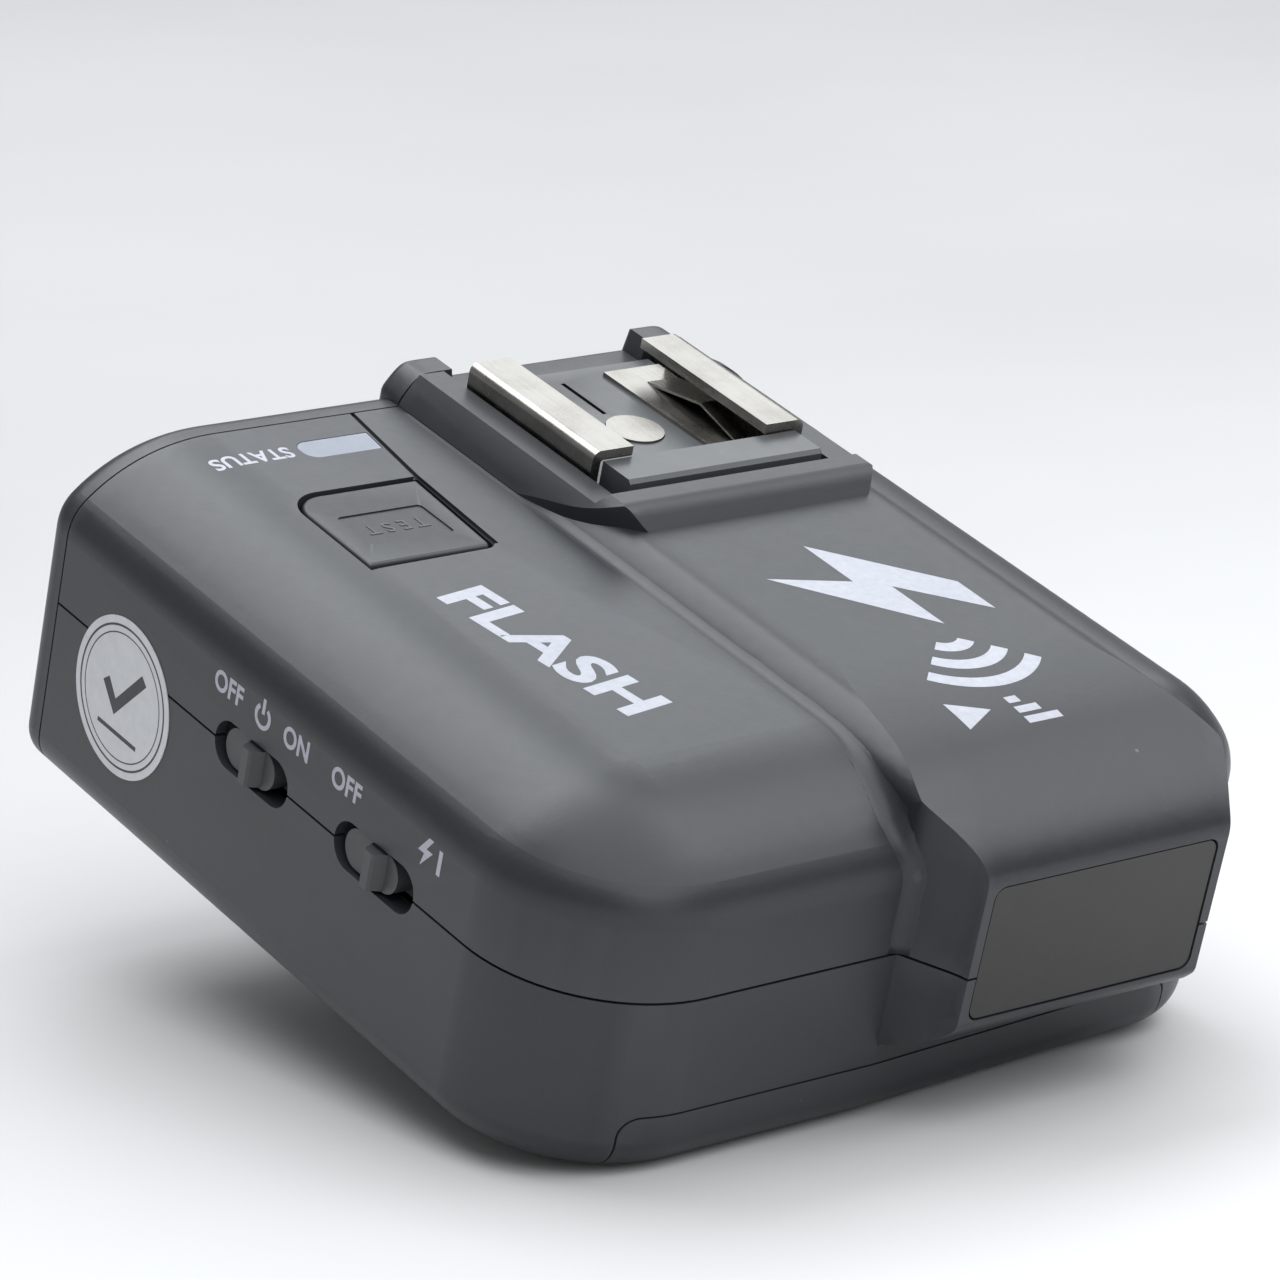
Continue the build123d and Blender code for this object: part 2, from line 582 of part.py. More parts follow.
with BuildPart() as key_switches:
    with BuildSketch(Plane.XZ.offset(5.6)):
        with Locations(*key_pos):
            Rectangle(6.0, 3.4)
    extrude(amount=2.6)
    with BuildSketch(Plane.XZ.offset(8.2)):
        with Locations(*key_pos):
            Circle(0.9)
    extrude(amount=0.45)
key_switches.part.label = "key_switches"
export_step(key_switches.part, "parts/key_switches.step")

with BuildPart() as select_dial:
    with BuildSketch(Plane.YZ.offset(dial_x[0])):
        with Locations((dial_y, dial_z)):
            Circle(dial_r)
            Circle(1.0, mode=Mode.SUBTRACT)
            with PolarLocations(dial_r + 0.12, 36):
                Circle(0.32, mode=Mode.SUBTRACT)
    extrude(amount=dial_x[1] - dial_x[0])
select_dial.part.label = "select_dial"
export_step(select_dial.part, "parts/select_dial.step")

with BuildPart() as dial_axle:
    with BuildSketch(Plane.YZ.offset(dial_x[0] - 2.2)):
        with Locations((dial_y, dial_z)):
            Circle(1.0)
    extrude(amount=dial_x[1] - dial_x[0] + 4.6)
dial_axle.part.label = "dial_axle"
export_step(dial_axle.part, "parts/dial_axle.step")

with BuildPart() as dial_bracket:
    with BuildSketch(Plane.YZ.offset(dial_x[0] - 2.3)):
        with Locations((-7.2, 28.0)):
            Rectangle(6.6, 5.6)
        with Locations((dial_y, dial_z)):
            Circle(1.05, mode=Mode.SUBTRACT)
    extrude(amount=1.8)
dial_bracket.part.label = "dial_bracket"
export_step(dial_bracket.part, "parts/dial_bracket.step")

with BuildPart() as dial_encoder:
    with BuildSketch(Plane.YZ.offset(dial_x[1] + 0.5)):
        with Locations((-7.4, 28.0)):
            Rectangle(6.2, 7.0)
        with Locations((dial_y, dial_z)):
            Circle(1.05, mode=Mode.SUBTRACT)
    extrude(amount=3.0)
dial_encoder.part.label = "dial_encoder"
export_step(dial_encoder.part, "parts/dial_encoder.step")

# ---------------------------------------------------------------- power: tray, cells, contacts
with BuildPart() as battery_tray:
    with BuildSketch(Plane.XY.offset(14.2)):
        with Locations((9.9, 34.75)):
            RectangleRounded(56.6, 31.3, 4.5)
    extrude(amount=15.4)
    with BuildSketch(Plane.XY.offset(14.1)):
        with Locations((9.9, 34.85)):
            RectangleRounded(54.6, 29.3, 3.5)
    extrude(amount=14.5, mode=Mode.SUBTRACT)
battery_tray.part.label = "battery_tray"
export_step(battery_tray.part, "parts/battery_tray.step")

with BuildPart() as battery_cell_rear:
    with BuildSketch(Plane.YZ.offset(cell_x0)):
        with Locations((cell_y[0], cell_z)):
            Circle(cell_r - 0.05)
    extrude(amount=cell_l - 1.4)
    with BuildSketch(Plane.YZ.offset(cell_x0 + cell_l - 1.4)):
        with Locations((cell_y[0], cell_z)):
            Circle(2.6)
    extrude(amount=1.4)
battery_cell_rear.part.label = "battery_cell_rear"
export_step(battery_cell_rear.part, "parts/battery_cell_rear.step")

with BuildPart() as battery_cell_front:
    with BuildSketch(Plane.YZ.offset(cell_x0 + 1.4)):
        with Locations((cell_y[1], cell_z)):
            Circle(cell_r - 0.05)
    extrude(amount=cell_l - 1.4)
    with BuildSketch(Plane.YZ.offset(cell_x0)):
        with Locations((cell_y[1], cell_z)):
            Circle(2.6)
    extrude(amount=1.4)
battery_cell_front.part.label = "battery_cell_front"
export_step(battery_cell_front.part, "parts/battery_cell_front.step")

with BuildPart() as battery_contacts_left:
    with BuildSketch(Plane.YZ.offset(-17.35)):
        with Locations((34.6, 21.2)):
            Rectangle(22.0, 9.0)
    extrude(amount=0.4)
    with BuildSketch(Plane.YZ.offset(-16.95)):
        with Locations((cell_y[1], cell_z)):
            Circle(2.2)
    extrude(amount=1.75)
    with BuildSketch(Plane.YZ.offset(-16.95)) as c0:
        with Locations((cell_y[0], cell_z)):
            Circle(4.0)
    with BuildSketch(Plane.YZ.offset(-15.2)) as c1:
        with Locations((cell_y[0], cell_z)):
            Circle(2.6)
    loft(sections=[c0.sketch, c1.sketch])
battery_contacts_left.part.label = "battery_contacts_left"
export_step(battery_contacts_left.part, "parts/battery_contacts_left.step")

with BuildPart() as battery_contacts_right:
    with BuildSketch(Plane.YZ.offset(36.75)):
        with Locations((34.6, 21.2)):
            Rectangle(22.0, 9.0)
    extrude(amount=0.4)
    with BuildSketch(Plane.YZ.offset(35.0)):
        with Locations((cell_y[0], cell_z)):
            Circle(2.2)
    extrude(amount=1.75)
    with BuildSketch(Plane.YZ.offset(36.75)) as c0:
        with Locations((cell_y[1], cell_z)):
            Circle(4.0)
    with BuildSketch(Plane.YZ.offset(35.0)) as c1:
        with Locations((cell_y[1], cell_z)):
            Circle(2.6)
    loft(sections=[c0.sketch, c1.sketch])
battery_contacts_right.part.label = "battery_contacts_right"
export_step(battery_contacts_right.part, "parts/battery_contacts_right.step")

# ---------------------------------------------------------------- electronics
with BuildPart() as main_board:
    with BuildSketch(Plane.XY.offset(31.0)):
        with BuildLine():
            Polyline((-16.5, -1.2), (14.4, -1.2), (14.4, -6.9), (18.3, -6.9), (18.3, -1.2), (37.0, -1.2), (37.0, 40.0),
                     (31.5, 45.0), (-11.0, 45.0), (-16.5, 39.5), (-16.5, -1.2))
        make_face()
        with Locations((-18, -2.2), (38, 0.5), (-18, 15.9), (34, 15.9)):
            Circle(3.3, mode=Mode.SUBTRACT)
    extrude(amount=1.2)
    with BuildSketch(Plane.XY.offset(32.2)):
        with Locations((-2, 26)):
            Rectangle(9, 9)
        with Locations((9, 36)):
            Rectangle(6, 5)
        with Locations((25, 30)):
            Rectangle(7, 6)
    extrude(amount=1.1)
main_board.part.label = "main_board"
export_step(main_board.part, "parts/main_board.step")

with BuildPart() as radio_module:
    with BuildSketch(Plane.XY.offset(32.2)):
        with Locations((-3, 10.5)):
            Rectangle(18.0, 12.0)
    extrude(amount=0.8)
    with BuildSketch(Plane.XY.offset(33.0)):
        with Locations((-1.0, 10.5)):
            RectangleRounded(12.5, 10.4, 0.5)
    extrude(amount=1.5)
radio_module.part.label = "radio_module"
export_step(radio_module.part, "parts/radio_module.step")

with BuildPart() as status_led:
    with BuildSketch(Plane.XY.offset(32.2)):
        with Locations((16.6, -5.6)):
            Rectangle(2.4, 1.8)
    extrude(amount=2.2)
status_led.part.label = "status_led"
export_step(status_led.part, "parts/status_led.step")

with BuildPart() as status_light_pipe:
    with BuildSketch(Plane.XY.offset(35.6)):
        add(status_outline(-0.04))
    extrude(amount=1.97)
    with BuildSketch(Plane.XY.offset(34.6)):
        with Locations((21.0, -6.0)):
            Rectangle(11.4, 2.4)
    extrude(amount=1.05)
status_light_pipe.part.label = "status_light_pipe"
export_step(status_light_pipe.part, "parts/status_light_pipe.step")

with BuildPart() as test_button:
    with BuildSketch(Plane.XY.offset(35.5)):
        add(test_outline(-0.4))
    extrude(amount=2.05)
    with BuildSketch(Plane.XY.offset(35.6)):
        with Locations((26.4, 13.35)):
            Rectangle(20, 4.2)
    extrude(amount=3, mode=Mode.SUBTRACT)
    fillet(test_button.faces().sort_by(Axis.Z)[-1].edges(), 0.3)
    with BuildSketch(Plane.XY.offset(37.45)):
        with Locations((26.4, 6.3)):
            RectangleRounded(7.6, 4.6, 0.4)
    extrude(amount=1, mode=Mode.SUBTRACT)
    with BuildSketch(Plane.XY.offset(34.9)):
        add(test_outline(0.5))
    extrude(amount=0.65)
    with BuildSketch(Plane.XY.offset(34.5)):
        with Locations((26.4, 6.3)):
            Circle(1.6)
    extrude(amount=0.5)
test_button.part.label = "test_button"
export_step(test_button.part, "parts/test_button.step")

with BuildPart() as test_tact_switch:
    with BuildSketch(Plane.XY.offset(32.2)):
        with Locations((26.4, 6.3)):
            RectangleRounded(6.0, 6.0, 0.3)
    extrude(amount=1.2)
    with BuildSketch(Plane.XY.offset(33.4)):
        with Locations((26.4, 6.3)):
            Circle(1.5)
    extrude(amount=0.4)
test_tact_switch.part.label = "test_tact_switch"
export_step(test_tact_switch.part, "parts/test_tact_switch.step")

with BuildPart() as af_window:
    with BuildSketch(Plane.XZ.offset(-57.1)):
        with Locations((0, 27.0)):
            RectangleRounded(21.1, 10.6, 0.9)
    extrude(amount=-1.55)
af_window.part.label = "af_window"
export_step(af_window.part, "parts/af_window.step")

with BuildPart() as af_emitter:
    with BuildSketch(Plane.XZ.offset(-51.4)):
        with Locations((0, 27.0)):
            Circle(2.5)
    extrude(amount=-3.6)
    fillet(af_emitter.faces().sort_by(Axis.Y)[-1].edges(), 1.4)
    with BuildSketch(Plane.XZ.offset(-50.9)):
        with Locations((0, 27.0)):
            Rectangle(12, 6.4)
    extrude(amount=-0.6)
af_emitter.part.label = "af_emitter"
export_step(af_emitter.part, "parts/af_emitter.step")

# ---------------------------------------------------------------- slide switches
with BuildPart() as power_switch_knob:
    with BuildSketch(Plane.YZ.offset(41.5)):
        with Locations((14.8, 25.3)):
            SlotOverall(6.2, 3.1)
    extrude(amount=1.35)
    with BuildSketch(Plane.XY.offset(25.3 - 1.45)):
        with BuildLine():
            Polyline((42.7, 15.5 - 1.1), (42.85, 15.5 - 0.95), (43.75, 15.5 - 0.55), (43.95, 15.5 - 0.4), (43.95, 15.5 + 0.4),
                     (43.75, 15.5 + 0.55), (42.85, 15.5 + 0.95), (42.7, 15.5 + 1.1), (42.7, 15.5 - 1.1))
        make_face()
    extrude(amount=2.9)
    with BuildSketch(Plane.YZ.offset(39.9)):
        with Locations((14.8, 25.3)):
            Rectangle(1.6, 1.2)
    extrude(amount=1.6)
power_switch_knob.part.label = "power_switch_knob"
export_step(power_switch_knob.part, "parts/power_switch_knob.step")

with BuildPart() as mode_switch_knob:
    with BuildSketch(Plane.YZ.offset(41.5)):
        with Locations((30.2, 25.3)):
            SlotOverall(6.4, 3.1)
    extrude(amount=1.35)
    with BuildSketch(Plane.XY.offset(25.3 - 1.45)):
        with BuildLine():
            Polyline((42.7, 31.0 - 1.1), (42.85, 31.0 - 0.95), (43.75, 31.0 - 0.55), (43.95, 31.0 - 0.4), (43.95, 31.0 + 0.4),
                     (43.75, 31.0 + 0.55), (42.85, 31.0 + 0.95), (42.7, 31.0 + 1.1), (42.7, 31.0 - 1.1))
        make_face()
    extrude(amount=2.9)
    with BuildSketch(Plane.YZ.offset(39.9)):
        with Locations((30.2, 25.3)):
            Rectangle(1.6, 1.2)
    extrude(amount=1.6)
mode_switch_knob.part.label = "mode_switch_knob"
export_step(mode_switch_knob.part, "parts/mode_switch_knob.step")

with BuildPart() as power_switch_body:
    with BuildSketch(Plane.YZ.offset(38.5)):
        with Locations((15.4, 25.3)):
            Rectangle(8.6, 3.2)
    extrude(amount=2.6)
    with BuildSketch(Plane.YZ.offset(39.5)):
        with Locations((15.4, 25.3)):
            Rectangle(5.2, 1.8)
    extrude(amount=2.6, mode=Mode.SUBTRACT)
power_switch_body.part.label = "power_switch_body"
export_step(power_switch_body.part, "parts/power_switch_body.step")

with BuildPart() as mode_switch_body:
    with BuildSketch(Plane.YZ.offset(38.5)):
        with Locations((30.9, 25.3)):
            Rectangle(8.8, 3.2)
    extrude(amount=2.6)
    with BuildSketch(Plane.YZ.offset(39.5)):
        with Locations((30.9, 25.3)):
            Rectangle(5.4, 1.8)
    extrude(amount=2.6, mode=Mode.SUBTRACT)
mode_switch_body.part.label = "mode_switch_body"
export_step(mode_switch_body.part, "parts/mode_switch_body.step")

# ---------------------------------------------------------------- hot shoe on top
with BuildPart() as shoe_rail_frame:
    with BuildSketch(Plane.XZ.offset(-shoe_len / 2)):
        with BuildLine():
            Polyline((shoe_out, 37.55), (shoe_out, z_lip), (shoe_gap, z_lip), (shoe_gap, z_lip - lip_t),
                     (shoe_out - lip_t, z_lip - lip_t), (shoe_out - lip_t, 37.95), (-shoe_out + lip_t, 37.95),
                     (-shoe_out + lip_t, z_lip - lip_t), (-shoe_gap, z_lip - lip_t), (-shoe_gap, z_lip), (-shoe_out, z_lip),
                     (-shoe_out, 37.55), (shoe_out, 37.55))
        make_face()
    extrude(amount=shoe_len)
    outer = shoe_rail_frame.edges().filter_by(Axis.Y).filter_by(lambda e: abs(abs(e.center().X) - shoe_out) < 0.01 and e.center().Z > 41)
    fillet(outer, 0.7)
    inner = shoe_rail_frame.edges().filter_by(Axis.Y).filter_by(lambda e: abs(abs(e.center().X) - (shoe_out - lip_t)) < 0.01 and e.center().Z > 41)
    fillet(inner, 0.25)
    with BuildSketch(Plane.XY.offset(37)):
        with Locations((0, 0.5)):
            Circle(3.6)
    extrude(amount=2, mode=Mode.SUBTRACT)
shoe_rail_frame.part.label = "shoe_rail_frame"
export_step(shoe_rail_frame.part, "parts/shoe_rail_frame.step")

with BuildPart() as shoe_insulator:
    with BuildSketch(Plane.XY.offset(38.0)):
        with Locations((0, -0.95)):
            Rectangle(18.6, 18.2)
    extrude(amount=z_chan - 38.0)
    with BuildSketch(Plane.XY.offset(37.55)):
        with Locations((0, 9.9)):
            Rectangle(18.6, 3.5)
    extrude(amount=41.2 - 37.55)
    chamfer(shoe_insulator.edges().filter_by(Axis.X).filter_by(lambda e: e.center().Z > 41 and e.center().Y > 11), 0.3)
    # pocket for the contact disc, the slot beside it and the seat of the spring sheet
    with BuildSketch(Plane.XY.offset(37.5)):
        with Locations((0, 0.5)):
            Circle(2.35)
    extrude(amount=3, mode=Mode.SUBTRACT)
    with BuildSketch(Plane.XY.offset(z_chan - 0.4)):
        with Locations((0.6, -5.4)):
            Rectangle(0.4, 5.6)
    extrude(amount=1, mode=Mode.SUBTRACT)
shoe_insulator.part.label = "shoe_insulator"
export_step(shoe_insulator.part, "parts/shoe_insulator.step")

with BuildPart() as shoe_centre_contact:
    with BuildSketch(Plane.XY.offset(37.7)):
        with Locations((0, 0.5)):
            Circle(2.3)
    extrude(amount=1.35)
shoe_centre_contact.part.label = "shoe_centre_contact"
export_step(shoe_centre_contact.part, "parts/shoe_centre_contact.step")

with BuildPart() as shoe_spring_plate:
    with BuildSketch(Plane.XY.offset(z_chan)):
        with BuildLine():
            Polyline((-3.7, -8.6), (-3.9, 8.0), (-9.2, 8.0), (-9.2, -8.6), (-3.7, -8.6))
        make_face()
    extrude(amount=0.25)
    # leaf that rises under the lip
    with BuildSketch(Plane.YZ.offset(-9.1)):
        with BuildLine():
            Polyline((-6.0, 39.0), (0.5, 40.2), (6.5, 39.0), (6.5, 39.15), (0.5, 40.4), (-6.0, 39.2), (-6.0, 39.0))
        make_face()
    extrude(amount=3.0)
shoe_spring_plate.part.label = "shoe_spring_plate"
export_step(shoe_spring_plate.part, "parts/shoe_spring_plate.step")
print("shoe ok")

# ---------------------------------------------------------------- camera foot
with BuildPart() as foot_base:
    with BuildSketch(Plane.XY.offset(9.6)):
        RectangleRounded(19.0, 19.0, 4.0)
        with GridLocations(12.4, 12.4, 2, 2):
            Circle(0.8, mode=Mode.SUBTRACT)
        Circle(2.0, mode=Mode.SUBTRACT)
    extrude(amount=z_floor - 9.6)
foot_base.part.label = "foot_base"
export_step(foot_base.part, "parts/foot_base.step")

with BuildPart() as foot_screws:
    with BuildSketch(Plane.XY.offset(9.8)):
        with GridLocations(12.4, 12.4, 2, 2):
            Circle(0.8)
    extrude(amount=3.05)
    with BuildSketch(Plane.XY.offset(z_floor + wall)):
        with GridLocations(12.4, 12.4, 2, 2):
            Circle(1.7)
    extrude(amount=1.0)
foot_screws.part.label = "foot_screws"
export_step(foot_screws.part, "parts/foot_screws.step")

with BuildPart() as foot_post:
    with BuildSketch(Plane.XY.offset(foot_t)):
        Circle(post_r)
        Rectangle(20, 8.6, mode=Mode.INTERSECT)
        Circle(2.0, mode=Mode.SUBTRACT)
    extrude(amount=9.6 - foot_t)
foot_post.part.label = "foot_post"
export_step(foot_post.part, "parts/foot_post.step")

pins = ((-4.2, -4.9), (0.0, -5.2), (4.2, -4.9))
with BuildPart() as shoe_foot:
    with BuildSketch(Plane.XY):
        RectangleRounded(foot_w, foot_l, 1.6)
    extrude(amount=foot_t)
    chamfer(shoe_foot.edges().group_by(Axis.Z)[-1], 0.3)
    with BuildSketch(Plane.XY.offset(-1)):
        with Locations((0, -1.4)):
            RectangleRounded(13.0, 12.0, 1.0)
    extrude(amount=2.3, mode=Mode.SUBTRACT)
    with BuildSketch(Plane.XY.offset(-1)):
        Circle(1.9)
        with Locations(*pins):
            Circle(1.0)
        with Locations((0, 7.0)):
            Circle(0.98)
    extrude(amount=4, mode=Mode.SUBTRACT)
shoe_foot.part.label = "shoe_foot"
export_step(shoe_foot.part, "parts/shoe_foot.step")

with BuildPart() as foot_insulator:
    with BuildSketch(Plane.XY.offset(0.4)):
        with Locations((0, -1.4)):
            RectangleRounded(12.96, 11.96, 0.98)
        Circle(1.56, mode=Mode.SUBTRACT)
        with Locations(*pins):
            Circle(0.76, mode=Mode.SUBTRACT)
    extrude(amount=0.9)
foot_insulator.part.label = "foot_insulator"
export_step(foot_insulator.part, "parts/foot_insulator.step")

with BuildPart() as foot_pin_centre:
    with BuildSketch(Plane.XY.offset(0.05)):
        Circle(1.5)
    extrude(amount=3.5)
    fillet(foot_pin_centre.edges().group_by(Axis.Z)[0], 0.3)
foot_pin_centre.part.label = "foot_pin_centre"
export_step(foot_pin_centre.part, "parts/foot_pin_centre.step")

with BuildPart() as foot_pin_left:
    with BuildSketch(Plane.XY.offset(0.05)):
        with Locations(pins[0]):
            Circle(0.7)
    extrude(amount=1.5)
    fillet(foot_pin_left.edges().group_by(Axis.Z)[0], 0.3)
foot_pin_left.part.label = "foot_pin_left"
export_step(foot_pin_left.part, "parts/foot_pin_left.step")

with BuildPart() as foot_pin_middle:
    with BuildSketch(Plane.XY.offset(0.05)):
        with Locations(pins[1]):
            Circle(0.7)
    extrude(amount=1.5)
    fillet(foot_pin_middle.edges().group_by(Axis.Z)[0], 0.3)
foot_pin_middle.part.label = "foot_pin_middle"
export_step(foot_pin_middle.part, "parts/foot_pin_middle.step")

with BuildPart() as foot_pin_right:
    with BuildSketch(Plane.XY.offset(0.05)):
        with Locations(pins[2]):
            Circle(0.7)
    extrude(amount=1.5)
    fillet(foot_pin_right.edges().group_by(Axis.Z)[0], 0.3)
foot_pin_right.part.label = "foot_pin_right"
export_step(foot_pin_right.part, "parts/foot_pin_right.step")

with BuildPart() as lock_plate:
    with BuildSketch(Plane.XY.offset(4.2)):
        RectangleRounded(20.0, 18.4, 2.0)
        Circle(post_r + 0.3, mode=Mode.SUBTRACT)
        with Locations((0, 7.0)):
            Circle(0.9, mode=Mode.SUBTRACT)
    extrude(amount=1.0)
    # tabs that run on the post's flats
    with BuildSketch(Plane.XY.offset(4.2)):
        with Locations((0, 4.95), (0, -4.95)):
            Rectangle(3.6, 0.9)
        Circle(post_r + 0.35, mode=Mode.INTERSECT)
    extrude(amount=1.0)
lock_plate.part.label = "lock_plate"
export_step(lock_plate.part, "parts/lock_plate.step")

with BuildPart() as locking_pin:
    with BuildSketch(Plane.XY.offset(0.15)):
        with Locations((0, 7.0)):
            Circle(0.9)
    extrude(amount=5.0)
    fillet(locking_pin.edges().group_by(Axis.Z)[0], 0.3)
locking_pin.part.label = "locking_pin"
export_step(locking_pin.part, "parts/locking_pin.step")

with BuildPart() as lock_ring:
    with BuildSketch(Plane.XY.offset(5.3)):
        Circle(ring_r)
        Circle(post_r + 0.06, mode=Mode.SUBTRACT)
        with PolarLocations(ring_r + 0.25, 40):
            Circle(0.55, mode=Mode.SUBTRACT)
    extrude(amount=4.0)
    with BuildSketch(Plane.XY.offset(5.2)):
        Circle(8.6)
        Circle(6.6, mode=Mode.SUBTRACT)
    extrude(amount=0.8, mode=Mode.SUBTRACT)
lock_ring.part.label = "lock_ring"
export_step(lock_ring.part, "parts/lock_ring.step")
print("foot ok")

# ---------------------------------------------------------------- sockets, screws, label
with BuildPart() as sync_jack:
    with BuildSketch(Plane.YZ.offset(-x_left + 0.15)):
        with Locations((9.6, 18.5)):
            Circle(2.95)
    extrude(amount=1.9)
    with BuildSketch(Plane.YZ.offset(-x_left + 2.05)):
        with Locations((9.6, 18.5)):
            Rectangle(6.0, 6.2)
    extrude(amount=10.0)
    with BuildSketch(Plane.YZ.offset(-x_left)):
        with Locations((9.6, 18.5)):
            Circle(1.28)
    extrude(amount=10.15, mode=Mode.SUBTRACT)
sync_jack.part.label = "sync_jack"
export_step(sync_jack.part, "parts/sync_jack.step")

with BuildPart() as usb_port:
    with BuildSketch(Plane.YZ.offset(-x_left + 0.7)):
        with Locations((2.9, 18.0)):
            RectangleRounded(2.9, 8.0, 0.5)
            RectangleRounded(2.2, 7.3, 0.4, mode=Mode.SUBTRACT)
    extrude(amount=6.0)
    with BuildSketch(Plane.YZ.offset(-x_left + 5.7)):
        with Locations((2.9, 18.0)):
            RectangleRounded(2.9, 8.0, 0.5)
    extrude(amount=1.0)
    with BuildSketch(Plane.YZ.offset(-x_left + 1.4)):
        with Locations((2.9, 18.0)):
            Rectangle(0.7, 4.6)
    extrude(amount=4.4)
usb_port.part.label = "usb_port"
export_step(usb_port.part, "parts/usb_port.step")

with BuildPart() as case_screws:
    with BuildSketch(Plane.XY.offset(20.6)):
        with Locations((-18, -2.2), (38, 0.5), (-18, 15.9), (34, 15.9)):
            Circle(1.8)
    extrude(amount=1.8)
    with BuildSketch(Plane.XY.offset(21.8)):
        with Locations((-18, -2.2), (38, 0.5), (-18, 15.9), (34, 15.9)):
            Circle(0.83)
    extrude(amount=9.0)
    # cross recess of each head
    with BuildSketch(Plane.XY.offset(20.5)):
        with Locations((-18, -2.2), (38, 0.5), (-18, 15.9), (34, 15.9)):
            Rectangle(1.9, 0.45)
            Rectangle(0.45, 1.9)
    extrude(amount=0.8, mode=Mode.SUBTRACT)
case_screws.part.label = "case_screws"
export_step(case_screws.part, "parts/case_screws.step")

with BuildPart() as inspection_sticker:
    with BuildSketch(Plane.YZ.offset(x_right + 0.01)):
        with Locations((-1.0, 22.2)):
            Circle(6.2)
    extrude(amount=0.07)
inspection_sticker.part.label = "inspection_sticker"
export_step(inspection_sticker.part, "parts/inspection_sticker.step")
print("all parts written")
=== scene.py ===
import bpy, bmesh, json, math
import numpy as np
from mathutils import Vector, Matrix


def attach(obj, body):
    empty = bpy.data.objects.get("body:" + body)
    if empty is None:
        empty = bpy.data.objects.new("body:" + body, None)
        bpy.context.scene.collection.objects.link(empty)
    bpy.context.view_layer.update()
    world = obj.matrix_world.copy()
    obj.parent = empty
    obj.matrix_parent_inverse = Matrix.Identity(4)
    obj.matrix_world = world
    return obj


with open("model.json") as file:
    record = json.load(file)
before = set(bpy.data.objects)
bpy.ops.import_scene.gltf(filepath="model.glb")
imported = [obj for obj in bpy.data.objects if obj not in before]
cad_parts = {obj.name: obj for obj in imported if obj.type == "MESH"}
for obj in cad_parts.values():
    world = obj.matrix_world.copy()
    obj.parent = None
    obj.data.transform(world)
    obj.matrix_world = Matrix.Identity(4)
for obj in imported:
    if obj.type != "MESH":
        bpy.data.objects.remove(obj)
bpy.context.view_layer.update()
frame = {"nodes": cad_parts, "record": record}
N = frame["nodes"]
scene = bpy.context.scene
MM = 0.001


# ------------------------------------------------------------------ small helpers
def link(o):
    scene.collection.objects.link(o)
    return o


def mesh_obj(name, verts, faces, mat=None, smooth=True, scale=MM):
    me = bpy.data.meshes.new(name)
    me.from_pydata([tuple(c * scale for c in v) for v in verts], [], faces)
    me.validate()
    me.update()
    if smooth:
        for p in me.polygons:
            p.use_smooth = True
    o = link(bpy.data.objects.new(name, me))
    if mat is not None:
        me.materials.append(mat)
    return o


def node(nt, kind, loc=(0, 0), **kw):
    n = nt.nodes.new(kind)
    n.location = loc
    for k, v in kw.items():
        setattr(n, k, v)
    return n


def ramp(nt, stops, loc=(0, 0), interp="LINEAR"):
    r = node(nt, "ShaderNodeValToRGB", loc)
    r.color_ramp.interpolation = interp
    e = r.color_ramp.elements
    while len(e) > 1:
        e.remove(e[-1])
    e[0].position = stops[0][0]
    e[0].color = (*stops[0][1], 1)
    for p, c in stops[1:]:
        x = e.new(p)
        x.color = (*c, 1)
    return r


def new_mat(name):
    m = bpy.data.materials.new(name)
    m.use_nodes = True
    nt = m.node_tree
    nt.nodes.clear()
    out = node(nt, "ShaderNodeOutputMaterial", (900, 0))
    b = node(nt, "ShaderNodeBsdfPrincipled", (600, 0))
    nt.links.new(b.outputs[0], out.inputs[0])
    return m, nt, b


def coords(nt, scale=1.0, loc=(-1100, 0)):
    tc = node(nt, "ShaderNodeTexCoord", loc)
    mp = node(nt, "ShaderNodeMapping", (loc[0] + 180, loc[1]))
    mp.inputs["Scale"].default_value = (scale, scale, scale)
    nt.links.new(tc.outputs["Object"], mp.inputs["Vector"])
    return mp.outputs["Vector"]


def noise(nt, vec, scale, detail=3.0, rough=0.5, loc=(0, 0)):
    n = node(nt, "ShaderNodeTexNoise", loc)
    n.inputs["Scale"].default_value = scale
    n.inputs["Detail"].default_value = detail
    n.inputs["Roughness"].default_value = rough
    nt.links.new(vec, n.inputs["Vector"])
    return n


